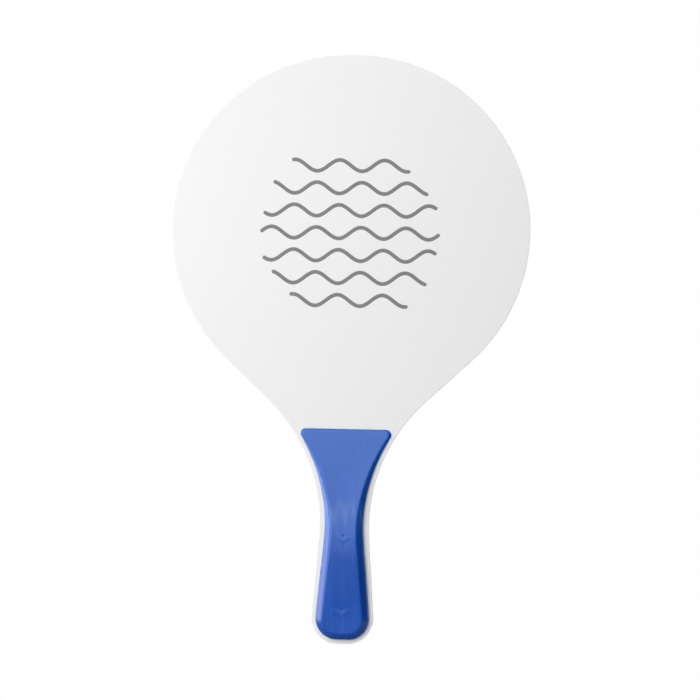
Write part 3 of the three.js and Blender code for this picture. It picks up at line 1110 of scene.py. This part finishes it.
@dataclass
class ClampScrew:
    """A self-tapping pan head screw along Y, with its head in the rear shell and its thread in the front."""

    name: str
    height: float
    fixings: Fixings
    board_half: float
    tip_off_board: float
    pitch: float = 0.0013
    root_share: float = 0.68
    ridge_share: float = 0.24
    point_length: float = 0.0022
    neck_length: float = 0.0012
    rim_share: float = 0.3
    rim_radius: float = 0.00035
    recess_span: float = 0.0034
    recess_width: float = 0.0009
    recess_depth: float = 0.0013
    recess_taper: float = 0.55
    recess_point_share: float = 1.15
    steps_per_pitch: int = 14
    rim_steps: int = 5
    dome_steps: int = 14

    @property
    def seat(self) -> float:
        """Where the head's underside bears."""
        return self.board_half + self.fixings.seat_thickness

    def shank(self) -> tuple[np.ndarray, np.ndarray]:
        """The threaded shank's radii over height and angle, and its heights.

        The phase y / pitch + a / 2 pi makes the ridge climb one pitch each turn. The ridge is a triangle in
        the phase, and the whole is drawn down to a point at the tip and runs out below the head.

        Returns:
            Radii as heights by sides, and the heights.
        """
        tip, crest = -self.board_half - self.tip_off_board, self.fixings.screw_radius
        count = round((self.seat - tip) / self.pitch * self.steps_per_pitch)
        y = np.linspace(tip, self.seat, count + 1)
        turn = np.linspace(0, 1, self.fixings.sides, endpoint=False)
        phase = np.mod(y[:, None] / self.pitch + turn, 1)
        ridge = np.clip(1 - np.abs(phase - 0.5) / self.ridge_share, 0, 1)
        point = np.clip((y - tip) / self.point_length, 0, 1)[:, None]
        runout = np.clip((self.seat - self.neck_length - y) / self.pitch, 0, 1)[:, None]
        root = self.root_share * crest
        return (root + (crest - root) * ridge * runout) * point, y

    def head(self) -> tuple[np.ndarray, np.ndarray]:
        """The head's profile: flat underside, an upright rim with a rounded lower edge, and a domed top.

        Returns:
            Radii and their places on Y.
        """
        radius, depth, soft = self.fixings.head_radius, self.fixings.head_depth, self.rim_radius
        rim = self.rim_share * depth
        low = rays(np.linspace(-QUARTER_TURN, 0, self.rim_steps + 1))
        dome = rays(np.linspace(0, QUARTER_TURN, self.dome_steps + 1))
        lower = np.array([radius - soft, soft]) + soft * low
        upper = np.array([0, rim]) + np.array([radius, depth - rim]) * dome
        upper[-1, 0] = 0
        radii, away = np.vstack([lower, upper]).T
        return radii, self.seat + away

    def recess(self) -> bpy.types.Mesh:
        """The cross recess: a cross outline that narrows as it goes down to a blunt point.

        Returns:
            The solid that is cut from the head.
        """
        span, width, over = self.recess_span / 2, self.recess_width / 2, self.fixings.overrun
        quarter = np.array([(span, -width), (span, width), (width, width)])
        cross = np.vstack([quarter @ np.array(Matrix.Rotation(i * QUARTER_TURN, 2)).T for i in range(4)])
        top = self.seat + self.fixings.head_depth
        levels = [
            (0.0, top + over),
            (1.0 + self.recess_taper * over / self.recess_depth, top + over),
            (1.0 - self.recess_taper, top - self.recess_depth),
            (0.0, top - self.recess_point_share * self.recess_depth),
        ]
        rows = np.stack([set_on_y(share * cross, y) for share, y in levels])
        return mesh_of("recess", [moved(grid_patch(rows, closed=True), (0, 0, self.height))])

    def build(self, material: bpy.types.Material) -> None:
        """Makes the screw and dresses it.

        Args:
            material: Its finish.
        """
        radii, y = self.shank()
        head_radii, head_y = self.head()
        all_radii = np.vstack([radii, np.repeat(head_radii[:, None], self.fixings.sides, axis=1)])
        turned = lathe_patch(all_radii, np.concatenate([y, head_y]), self.fixings.sides)
        body = mesh_of("screw_body", [moved(turned, (0, 0, self.height))])
        mesh = combined(self.name, body, [(Joining.CUT, self.recess())])
        shown(f"{self.name}_dressed", mesh, material, self.name, slot="screw_steel")


@dataclass
class WavePrint:
    """A plain printed pattern on the front of the head: level wavy lines that fill a round field."""

    board_half: float
    centre: float = 0.265
    field_radius: float = 0.058
    line_pitch: float = 0.0145
    line_width: float = 0.0024
    wave_length: float = 0.029
    wave_height: float = 0.0036
    film: float = 0.00003
    film_edge: float = 0.000012
    sunk: float = 0.000008
    steps: int = 220

    def ribbon(self, offset: float, lead: float) -> Patch:
        """One printed line: a flat strip carried along z = c + h sin(2 pi x / w + lead), with round ends.

        Args:
            offset: The line's height over the middle of the field.
            lead: Its phase.

        Returns:
            The strip as a thin closed film.
        """
        even = np.linspace(0, 1, self.steps)
        eased = (1 - np.cos(math.pi * even)) / 2
        x = math.sqrt(self.field_radius**2 - offset**2) * (eased + even - 1)
        turn = FULL_TURN * x / self.wave_length + lead
        z = self.centre + offset + self.wave_height * np.sin(turn)
        slope = self.wave_height * FULL_TURN / self.wave_length * np.cos(turn)
        normal = np.column_stack([-slope, np.ones(len(slope))]) / np.hypot(1, slope)[:, None]
        along = np.concatenate([[0], np.cumsum(np.hypot(np.diff(x), np.diff(z)))])
        half = self.line_width / 2
        short = np.clip(1 - np.minimum(along, along[-1] - along) / half, 0, 1)
        width = half * np.sqrt(1 - short**2)
        top = width - np.minimum(self.film_edge, width)
        side = self.film - self.film_edge
        section = [(width, -self.sunk), (width, side), (top, self.film)]
        section += [(-out, height) for out, height in reversed(section)]
        middle = np.column_stack([x, z])
        face = -self.board_half
        rows = [set_on_y(middle + out[:, None] * normal, face - height) for out, height in section]
        return grid_patch(np.stack(rows, axis=1), closed=True)

    def build(self, material: bpy.types.Material) -> None:
        """Makes all the lines, each half a wave on from the last, and dresses them.

        Args:
            material: Their finish.
        """
        count = int(self.field_radius // self.line_pitch)
        patches = [self.ribbon(k * self.line_pitch, math.pi * (k % 2)) for k in range(-count, count + 1)]
        shown("face_print", mesh_of("face_print", patches), material)


class Wiring:
    """Adds nodes to a tree and joins them. An input is given as a value or as the socket that feeds it."""

    node_step = 200

    def __init__(self, tree: bpy.types.NodeTree) -> None:
        """Keeps the tree, whose nodes are to stand in a row."""
        self.tree = tree

    def feed(self, node: bpy.types.Node, inputs: dict[Any, Any]) -> None:
        """Gives a node's inputs what they take.

        Args:
            node: The node.
            inputs: Values or sockets for its inputs, by name or number.
        """
        for key, value in inputs.items():
            if isinstance(value, Socket):
                self.tree.links.new(value, node.inputs[key])
            else:
                node.inputs[key].default_value = value

    def add(self, kind: str, inputs: dict[Any, Any] | None = None, **settings: Any) -> bpy.types.Node:
        """Adds a node.

        Args:
            kind: The node's type, without its ShaderNode in front.
            inputs: Values or sockets for its inputs, by name or number.
            settings: Its other settings.

        Returns:
            The node.
        """
        node = self.tree.nodes.new(kind if kind.startswith("NodeGroup") else f"ShaderNode{kind}")
        node.location = (self.node_step * len(self.tree.nodes), 0)
        for name, value in settings.items():
            setattr(node, name, value)
        self.feed(node, inputs or {})
        return node

    def out(self, kind: str, inputs: dict[Any, Any] | None = None, **settings: Any) -> Socket:
        """Adds a node and gives its first output."""
        return self.add(kind, inputs, **settings).outputs[0]

    def math(self, operation: str, *values: Any, clamp: bool = False) -> Socket:
        """One operation on numbers or sockets."""
        return self.out("Math", dict(enumerate(values)), operation=operation, use_clamp=clamp)

    def plus(self, first: Any, *others: Any) -> Socket:
        """Numbers or sockets added up."""
        return reduce(lambda total, value: self.math("ADD", total, value), others, first)

    def minus(self, first: Any, second: Any) -> Socket:
        """One number or socket less another."""
        return self.math("SUBTRACT", first, second)

    def times(self, first: Any, *others: Any) -> Socket:
        """Numbers or sockets multiplied."""
        return reduce(lambda total, value: self.math("MULTIPLY", total, value), others, first)

    def spread(
        self, value: Any, low: float, high: float, to_low: float = 0.0, to_high: float = 1.0
    ) -> Socket:
        """Carries a value from one range to another, smoothly and no further than its ends.

        Args:
            value: The value or socket.
            low: The start of its range.
            high: The end of its range.
            to_low: Where the start goes.
            to_high: Where the end goes.

        Returns:
            The new value.
        """
        inputs = {"Value": value, "From Min": low, "From Max": high, "To Min": to_low, "To Max": to_high}
        return self.out("MapRange", inputs, interpolation_type="SMOOTHSTEP")

    def noise(self, place: Socket, scale: Any, detail: float, roughness: Any = 0.5) -> Socket:
        """Soft noise, about a half."""
        inputs = {"Vector": place, "Scale": scale, "Detail": detail, "Roughness": roughness}
        return self.add("TexNoise", inputs).outputs["Fac"]

    def part(self, vector: Socket, axis: str) -> Socket:
        """A vector's or a colour's part on one axis."""
        return self.add("SeparateXYZ", {0: vector}).outputs[axis]

    def blend(self, share: Socket, first: Any, second: Any) -> Socket:
        """Mixes two colours by a share."""
        first, second = ((*each, 1.0) if isinstance(each, tuple) else each for each in (first, second))
        return self.add("Mix", {0: share, 6: first, 7: second}, data_type="RGBA").outputs[2]

    def brightened(self, colour: Any, tone: Socket) -> Socket:
        """A colour made a little lighter or darker by a tone about zero."""
        return self.out("VectorMath", {0: colour, 3: self.plus(tone, 1.0)}, operation="SCALE")


def emptied(owner: bpy.types.Material | bpy.types.World) -> bpy.types.NodeTree:
    """Turns on the nodes of a material or the world and takes its first ones out.

    Args:
        owner: The material or the world.

    Returns:
        Its tree, with no nodes.
    """
    owner.use_nodes = True
    owner.node_tree.nodes.clear()
    return owner.node_tree


class GroupWiring(Wiring):
    """The nodes of a shared group, with its inputs as given and its output node as made."""

    def __init__(self, name: str, inputs: Sequence[str], outputs: Sequence[str]) -> None:
        """Starts the group.

        Args:
            name: The group's name.
            inputs: Its inputs, all numbers, besides the place that its pattern is read at.
            outputs: Its outputs, all numbers.
        """
        super().__init__(bpy.data.node_groups.new(name, "ShaderNodeTree"))
        sockets = self.tree.interface
        sockets.new_socket("Vector", in_out="INPUT", socket_type="NodeSocketVector")
        for way, keys in (("INPUT", inputs), ("OUTPUT", outputs)):
            for key in keys:
                sockets.new_socket(key, in_out=way, socket_type="NodeSocketFloat")
        self.given = self.add("NodeGroupInput").outputs
        self.made = self.add("NodeGroupOutput")


class SharedGroups:
    """The effects that several finishes use, each built once."""

    fine_ratio = 4.3
    coarse_detail = 2.0
    fine_detail = 1.0
    cloud_detail = 3.0

    def __init__(self) -> None:
        """Builds the groups."""
        self.grain = self.make_grain()
        self.edge = self.make_edge()
        self.mottle = self.make_mottle()

    def make_grain(self) -> bpy.types.NodeTree:
        """A fine uneven surface: two sizes of rounded noise laid over each other.

        Returns:
            A group whose Height is coarse + share of fine, about a half.
        """
        w = GroupWiring("fine_grain", ["Scale", "Fine Share", "Roundness"], ["Height"])
        place, scale = w.given["Vector"], w.given["Scale"]
        coarse = w.noise(place, scale, self.coarse_detail, w.given["Roundness"])
        fine = w.noise(place, w.times(scale, self.fine_ratio), self.fine_detail)
        w.feed(w.made, {"Height": w.plus(coarse, w.times(fine, w.given["Fine Share"]))})
        return w.tree

    def make_edge(self) -> bpy.types.NodeTree:
        """Finds rounded edges by the surface's own direction.

        The faces point along Y and the sides away from it, so the size of the normal's Y tells how far round
        an edge a point lies. A noise breaks the band up.

        Returns:
            A group whose Mask is one where the size of the normal's Y lies well between Low and High.
        """
        w = GroupWiring("rounded_edge", ["Low", "High", "Soft", "Break Scale"], ["Mask"])
        y = w.math("ABSOLUTE", w.part(w.add("TexCoord").outputs["Normal"], "Y"))
        rise = w.math("DIVIDE", w.minus(y, w.given["Low"]), w.given["Soft"], clamp=True)
        fall = w.math("DIVIDE", w.minus(w.given["High"], y), w.given["Soft"], clamp=True)
        noise = w.noise(w.given["Vector"], w.given["Break Scale"], self.cloud_detail)
        w.feed(w.made, {"Mask": w.times(rise, fall, w.spread(noise, low=0.3, high=0.7, to_low=0.45))})
        return w.tree

    def make_mottle(self) -> bpy.types.NodeTree:
        """A faint uneven tone: a broad cloud and a few small soft specks.

        Returns:
            A group whose Tone runs about zero and whose Specks are one on a speck.
        """
        w = GroupWiring("soft_mottle", ["Scale", "Amount", "Speck Scale"], ["Tone", "Specks"])
        cloud = w.noise(w.given["Vector"], w.given["Scale"], self.cloud_detail)
        cells = w.add("TexVoronoi", {"Vector": w.given["Vector"], "Scale": w.given["Speck Scale"]}).outputs
        spots = w.spread(cells["Distance"], low=0.05, high=0.12, to_low=1.0, to_high=0.0)
        chosen = w.spread(w.part(cells["Color"], "X"), low=0.93, high=0.95)
        tone = w.times(w.minus(cloud, 0.5), w.given["Amount"])
        w.feed(w.made, {"Tone": tone, "Specks": w.times(spots, chosen)})
        return w.tree


class FinishWiring(Wiring):
    """The nodes of one finish: a point's place on its piece, the shared groups and the main shader."""

    def __init__(self, name: str, groups: SharedGroups) -> None:
        """Starts the material.

        Args:
            name: Its name.
            groups: The shared groups.
        """
        self.material = bpy.data.materials.new(name)
        super().__init__(emptied(self.material))
        self.groups = groups
        self.shader = self.add("BsdfPrincipled")
        self.add("OutputMaterial", {"Surface": self.shader.outputs[0]})
        self.place = self.add("TexCoord").outputs["Object"]

    def mottle(self, scale: float, amount: float, speck_scale: float) -> tuple[Socket, Socket]:
        """The uneven tone of a surface.

        Args:
            scale: How close its clouds lie.
            amount: How strong they are.
            speck_scale: How close its specks lie.

        Returns:
            The tone about zero, and one on a speck.
        """
        inputs = {"Vector": self.place, "Scale": scale, "Amount": amount, "Speck Scale": speck_scale}
        outputs = self.add("Group", inputs, node_tree=self.groups.mottle).outputs
        return outputs["Tone"], outputs["Specks"]

    def edge(self, low: float, high: float, soft: float, break_scale: float) -> Socket:
        """The mask of the rounded edges."""
        inputs = {"Vector": self.place, "Low": low, "High": high, "Soft": soft, "Break Scale": break_scale}
        return self.out("Group", inputs, node_tree=self.groups.edge)

    def stretched(self, *shares: float) -> Socket:
        """A point's place on its piece, scaled along each axis, so that a pattern is drawn out."""
        return self.out("Mapping", {"Vector": self.place, "Scale": shares})

    def grain(
        self, scale: float, fine_share: float, roundness: float = 0.5, place: Socket | None = None
    ) -> Socket:
        """The height of a fine grain.

        Args:
            scale: How fine it is.
            fine_share: How much of its finer noise it has.
            roundness: How rough its coarser noise is.
            place: Where it is read, if not at the point's own place on its piece.

        Returns:
            The height, about a half.
        """
        place = place or self.place
        inputs = {"Vector": place, "Scale": scale, "Fine Share": fine_share, "Roundness": roundness}
        return self.out("Group", inputs, node_tree=self.groups.grain)

    def dressed(
        self, colour: Socket, roughness: Socket, height: Socket, **plain: float
    ) -> bpy.types.Material:
        """Feeds the main shader.

        Args:
            colour: The base colour.
            roughness: The roughness.
            height: The height of the fine relief in metres.
            plain: The shader's inputs that are the same all over.

        Returns:
            The finished material.
        """
        bump = self.out("Bump", {"Strength": 1.0, "Distance": 1.0, "Height": height})
        self.feed(self.shader, {"Base Color": colour, "Roughness": roughness, "Normal": bump, **plain})
        return self.material


@dataclass(frozen=True)
class Lacquer:
    """White satin lacquer on fibreboard: a faint orange peel on the faces and a drier, fibrous edge."""

    groups: SharedGroups
    colour: Triple = (0.865, 0.865, 0.862)
    edge_colour: Triple = (0.87, 0.865, 0.85)
    speck_colour: Triple = (0.72, 0.71, 0.69)
    edge_share: float = 0.8
    speck_share: float = 0.35
    roughness: float = 0.42
    edge_roughness: float = 0.6
    tone_roughness: float = 2.0
    peel_scale: float = 700.0
    peel_height: float = 0.0000022
    fibre_scale: float = 900.0
    fibre_stretch: float = 3.5
    fibre_height: float = 0.000012

    def material(self) -> bpy.types.Material:
        """Builds the finish.

        Returns:
            The material.
        """
        w = FinishWiring("white_lacquer", self.groups)
        tone, specks = w.mottle(scale=14.0, amount=0.02, speck_scale=420.0)
        edge = w.edge(low=-0.2, high=0.97, soft=0.14, break_scale=500.0)
        side = w.blend(w.times(edge, self.edge_share), w.brightened(self.colour, tone), self.edge_colour)
        spotted = w.blend(w.times(specks, self.speck_share), side, self.speck_colour)
        dry = w.times(edge, self.edge_roughness - self.roughness)
        roughness = w.plus(dry, w.times(tone, self.tone_roughness), self.roughness)
        peel = w.grain(self.peel_scale, fine_share=0.25)
        drawn_out = w.stretched(1.0, self.fibre_stretch, 1.0)
        fibres = w.grain(self.fibre_scale, fine_share=0.6, roundness=0.7, place=drawn_out)
        height = w.plus(w.times(peel, self.peel_height), w.times(fibres, edge, self.fibre_height))
        return w.dressed(spotted, roughness, height, IOR=1.5)


@dataclass(frozen=True)
class MouldedPlastic:
    """Blue moulded plastic: a fine spark-eroded grain, streaks where the plastic flowed along the grip and
    polished edges. A paler blue on the ramp above the knee is painted light, and a paler band in the streaks
    round the knee is a painted highlight.
    """

    groups: SharedGroups
    colour: Triple = (0.007, 0.083, 0.45)
    ramp_painted_light_colour: Triple = (0.008, 0.106, 0.51)
    edge_colour: Triple = (0.012, 0.096, 0.47)
    painted_highlight_colour: Triple = (0.08, 0.18, 0.55)
    edge_share: float = 0.7
    roughness: float = 0.26
    edge_polish: float = 0.03
    streak_scale: float = 340.0
    streak_stretch: float = 0.12
    streak_middle: float = 0.53
    streak_tone: float = 0.2
    streak_roughness: float = 0.1
    streak_height: float = 0.000003
    painted_light_start: float = 0.052
    painted_light_end: float = 0.078
    painted_highlight_height: float = 0.084
    painted_highlight_reach: float = 0.013
    painted_highlight_share: float = 0.75
    grain_scale: float = 2600.0
    grain_height: float = 0.0000035

    def material(self) -> bpy.types.Material:
        """Builds the finish.

        Returns:
            The material.
        """
        w = FinishWiring("moulded_blue", self.groups)
        tone, _ = w.mottle(scale=45.0, amount=0.1, speck_scale=700.0)
        edge = w.edge(low=0.76, high=0.99, soft=0.1, break_scale=260.0)
        drawn_out = w.stretched(1.0, 1.0, self.streak_stretch)
        streaks = w.grain(self.streak_scale, fine_share=0.06, roundness=0.4, place=drawn_out)
        streak = w.minus(streaks, self.streak_middle)
        z = w.part(w.place, "Z")
        # Painted light: the blue turns paler from the knee up the ramp, standing in for the extra light that
        # the up-leaning ramp catches.
        plain = w.blend(w.spread(z, self.painted_light_start, self.painted_light_end), self.colour, self.ramp_painted_light_colour)
        tint = w.brightened(plain, w.plus(tone, w.times(streak, self.streak_tone)))
        # Painted highlight: a paler, greyer band in the streaks round the knee, standing in for the lamps'
        # gloss on the streaked plastic.
        off_painted_highlight = w.math("ABSOLUTE", w.minus(z, self.painted_highlight_height))
        near_painted_highlight = w.spread(off_painted_highlight, 0.0, self.painted_highlight_reach, to_low=1.0, to_high=0.0)
        highlight_streak_mask = w.spread(streaks, low=0.44, high=0.66, to_high=self.painted_highlight_share)
        with_painted_highlight = w.blend(w.times(near_painted_highlight, highlight_streak_mask), tint, self.painted_highlight_colour)
        worn = w.blend(w.times(edge, self.edge_share), with_painted_highlight, self.edge_colour)
        polish, uneven = w.times(edge, -self.edge_polish), w.times(streak, self.streak_roughness)
        grain = w.grain(self.grain_scale, fine_share=0.5)
        height = w.plus(w.times(grain, self.grain_height), w.times(streak, self.streak_height))
        return w.dressed(worn, w.plus(polish, uneven, self.roughness), height, IOR=1.49)


@dataclass(frozen=True)
class ZincPlate:
    """Bright zinc on steel, with a fine uneven plate and duller patches."""

    groups: SharedGroups
    colour: Triple = (0.62, 0.63, 0.65)
    dull_colour: Triple = (0.50, 0.49, 0.45)
    dull_share: float = 0.3
    roughness: float = 0.3
    tone_roughness: float = 0.4
    plate_scale: float = 5000.0
    plate_height: float = 0.000006

    def material(self) -> bpy.types.Material:
        """Builds the finish.

        Returns:
            The material.
        """
        w = FinishWiring("zinc_plate", self.groups)
        tone, _ = w.mottle(scale=900.0, amount=0.5, speck_scale=3000.0)
        colour = w.blend(w.math("ADD", tone, self.dull_share, clamp=True), self.colour, self.dull_colour)
        roughness = w.plus(w.times(tone, self.tone_roughness), self.roughness)
        height = w.times(w.grain(self.plate_scale, fine_share=0.4), self.plate_height)
        return w.dressed(colour, roughness, height, Metallic=1.0)


@dataclass(frozen=True)
class ScreenInk:
    """Flat grey printing ink, a little duller than the lacquer, with fine pinholes."""

    groups: SharedGroups
    colour: Triple = (0.185, 0.185, 0.19)
    thin_colour: Triple = (0.30, 0.30, 0.305)
    speck_share: float = 0.6
    roughness: float = 0.55
    tone_roughness: float = 0.3
    film_scale: float = 3200.0
    film_height: float = 0.000002

    def material(self) -> bpy.types.Material:
        """Builds the finish.

        Returns:
            The material.
        """
        w = FinishWiring("grey_ink", self.groups)
        tone, specks = w.mottle(scale=120.0, amount=0.3, speck_scale=1400.0)
        thin = w.math("ADD", tone, w.times(specks, self.speck_share), clamp=True)
        roughness = w.plus(w.times(tone, self.tone_roughness), self.roughness)
        height = w.times(w.grain(self.film_scale, fine_share=0.5), self.film_height)
        return w.dressed(w.blend(thin, self.colour, self.thin_colour), roughness, height)


def staged(mesh: bpy.types.Mesh, material: bpy.types.Material) -> bpy.types.Object:
    """Puts a mesh in the scene as a part of the studio.

    Args:
        mesh: The mesh.
        material: What it is made of.

    Returns:
        The object.
    """
    mesh.materials.append(material)
    thing = placed(mesh.name, mesh)
    return thing


@dataclass(frozen=True)
class StudioPanel:
    """Something flat that stands in a direction from the racket and faces it. The camera doesn't see it."""

    name: str
    direction: Triple
    distance: float
    size: tuple[float, float]
    aim: Triple = field(default=(0.0, 0.0, 0.2), kw_only=True)

    @property
    def away(self) -> Vector:
        """The direction from its aim to it."""
        return Vector(self.direction).normalized()

    @property
    def middle(self) -> Vector:
        """Where its middle is."""
        return Vector(self.aim) + self.away * self.distance


@dataclass(frozen=True)
class Softbox(StudioPanel):
    """A square or oblong studio lamp."""

    power: float

    def place(self) -> None:
        """Puts the lamp in the scene."""
        lamp = bpy.data.lights.new(self.name, "AREA")
        lamp.shape = "RECTANGLE"
        lamp.size, lamp.size_y = self.size
        lamp.energy = self.power
        holder = placed(self.name, lamp)
        holder.visible_camera = False
        holder.location = self.middle
        holder.rotation_euler = self.away.to_track_quat("Z", "Y").to_euler()


@dataclass(frozen=True)
class BlackCard(StudioPanel):
    """A dark card that keeps light off one side, as a photographer sets it."""

    tone: float = 0.005

    def place(self) -> None:
        """Puts the card in the scene: a flat grid across the line from the racket to it."""
        side = self.away.cross(Vector((0, 0, 1))).normalized()
        up = side.cross(self.away)
        u = np.array([-0.5, 0.5])[None, :, None] * self.size[0] * np.array(side)
        v = np.array([-0.5, 0.5])[:, None, None] * self.size[1] * np.array(up)
        mesh = mesh_of(self.name, [grid_patch(np.array(self.middle) + u + v)])
        material = bpy.data.materials.new(self.name)
        w = Wiring(emptied(material))
        matt = w.out("BsdfDiffuse", {"Color": (self.tone, self.tone, self.tone, 1.0)})
        w.add("OutputMaterial", {"Surface": matt})
        staged(mesh, material).visible_camera = False


@dataclass
class Studio:
    """The pale floor, the white surroundings, the lamps and the camera."""

    board_half: float
    aim_x: float = 0.00165
    aim_z: float = 0.18955
    frame_width: float = 0.4516
    roll: float = math.radians(1.127)
    yaw: float = math.radians(4.2)
    lens: float = 100.0
    sensor: float = 36.0
    clip: tuple[float, float] = (0.05, 50.0)
    floor_radius: float = 0.11
    floor_full_radius: float = 0.05
    floor_sides: int = 64
    floor_colour: Triple = (0.36, 0.36, 0.36)
    floor_lift: float = 0.8
    painted_shade_radius: float = 0.03
    mirror_radius: float = 0.11
    ambient: float = 0.22
    panels: tuple[Softbox | BlackCard, ...] = (
        Softbox("high_softbox", (-0.25, -0.38, 0.89), 3.2, (2.4, 1.4), 13.0),
        Softbox("key_softbox", (-0.62, -0.75, 0.22), 1.2, (0.8, 0.8), 4.7, aim=(0.0, 0.0, 0.03)),
        Softbox("front_softbox", (-0.27, -0.887, 0.375), 2.3, (2.4, 1.86), 34.2, aim=(0.0, 0.0, -0.05)),
        Softbox("left_softbox", (-0.97, 0.1, -0.25), 0.9, (0.5, 0.9), 4.7),
        Softbox("rear_softbox", (0.25, 0.9, 0.35), 2.2, (2.0, 1.8), 20.0),
        Softbox("edge_softbox", (0.6, 0.8, 0.15), 1.2, (0.3, 0.9), 9.0),
        BlackCard("right_card", (0.94, -0.34, 0.0), 0.75, (1.0, 1.8)),
        BlackCard("camera_card", (0.0, -1.0, -0.13), 3.2, (3.0, 2.2)),
    )

    def seen(self, w: Wiring, gloss_share: Any = 1.0) -> Socket:
        """How strongly surroundings show.

        Args:
            w: The wiring of the surroundings' nodes.
            gloss_share: The share of it that a gloss or glass shows, as a value or a socket.

        Returns:
            One for rays from the camera, and the share for those off a gloss or through glass.
        """
        path = w.add("LightPath").outputs
        mirrored = w.math("MAXIMUM", path["Is Glossy Ray"], path["Is Transmission Ray"])
        return w.math("MAXIMUM", path["Is Camera Ray"], w.times(mirrored, gloss_share))

    def surround(self) -> None:
        """A world that shows white and lights the racket softly from all round."""
        world = bpy.data.worlds.new("studio")
        bpy.context.scene.world = world
        w = Wiring(emptied(world))
        soft = w.out("Background", {"Color": WHITE, "Strength": self.ambient})
        white = w.out("Background", {"Color": WHITE, "Strength": 1.0})
        w.add("OutputWorld", {"Surface": w.out("MixShader", {0: self.seen(w), 1: soft, 2: white})})

    def floor(self) -> None:
        """A pale disc under the butt, which shows white but keeps the racket's shadow and fades outwards.
        Near the butt the glosses see less of its lift, a painted contact shadow in reflections.
        """
        radii = np.array([0.0, self.floor_full_radius, self.floor_radius])[:, None, None]
        flat = radii * rays(turn_angles(self.floor_sides))
        grid = np.concatenate([flat, np.zeros((*flat.shape[:2], 1))], axis=-1)
        material = bpy.data.materials.new("pale_floor")
        w = Wiring(emptied(material))
        place = w.add("TexCoord").outputs["Object"]
        radius = w.add("VectorMath", {0: place}, operation="LENGTH").outputs["Value"]
        # Painted shade: near the butt the lift that glossy rays see is drawn down, standing in for the
        # contact shadow there.
        off_painted_shade = w.spread(radius, self.painted_shade_radius, self.mirror_radius)
        strength = w.times(self.seen(w, off_painted_shade), self.floor_lift)
        matt = w.out("BsdfDiffuse", {"Color": (*self.floor_colour, 1.0)})
        lift = w.out("Emission", {"Color": WHITE, "Strength": strength})
        both = w.out("AddShader", {0: matt, 1: lift})
        faded = w.spread(radius, self.floor_full_radius, self.floor_radius)
        disc = w.out("MixShader", {0: faded, 1: both, 2: w.out("BsdfTransparent")})
        w.add("OutputMaterial", {"Surface": disc})
        staged(mesh_of("floor", [grid_patch(grid, closed=True)]), material)

    def camera(self) -> None:
        """A long lens that looks level at the front, rolled so that the racket leans as in the picture."""
        data = bpy.data.cameras.new("camera")
        data.lens = self.lens
        data.sensor_width = self.sensor
        data.clip_start, data.clip_end = self.clip
        camera = placed("camera", data)
        back = Vector((math.sin(self.yaw), -math.cos(self.yaw), 0))
        level = Vector((math.cos(self.yaw), math.sin(self.yaw), 0))
        right = level * math.cos(self.roll) + Vector((0, 0, 1)) * math.sin(self.roll)
        up = Vector((0, 0, 1)) * math.cos(self.roll) - level * math.sin(self.roll)
        distance = self.frame_width * self.lens / self.sensor
        place = Vector((self.aim_x, -self.board_half, self.aim_z)) + back * distance
        camera.matrix_world = Matrix.Translation(place) @ Matrix((right, up, back)).transposed().to_4x4()
        bpy.context.scene.camera = camera

    def build(self) -> None:
        """Sets up everything round the racket."""
        self.camera()
        self.surround()
        self.floor()
        for panel in self.panels:
            panel.place()
        bpy.context.scene.view_settings.view_transform = "Standard"


def main() -> None:
    """Builds the racket's pieces round the frame, then the studio."""
    logging.basicConfig(level=logging.INFO, format="%(name)s: %(message)s")
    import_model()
    outline, fixings, groups = BoardOutline(), Fixings(), SharedGroups()
    board = PaddleBoard(outline, fixings)
    half = board.thickness / 2
    board.build(Lacquer(groups).material())
    plastic, zinc = MouldedPlastic(groups).material(), ZincPlate(groups).material()
    shells = [GripShell(outline, fixings, face, half) for face in Face]
    for shell in shells:
        shell.build(plastic)
    for name, height in zip(SCREW_NODES, fixings.heights):
        ClampScrew(name, height, fixings, half, shells[0].screw_tip).build(zinc)
    WavePrint(half).build(ScreenInk(groups).material())
    Studio(half).build()


if __name__ == "__main__":
    main()
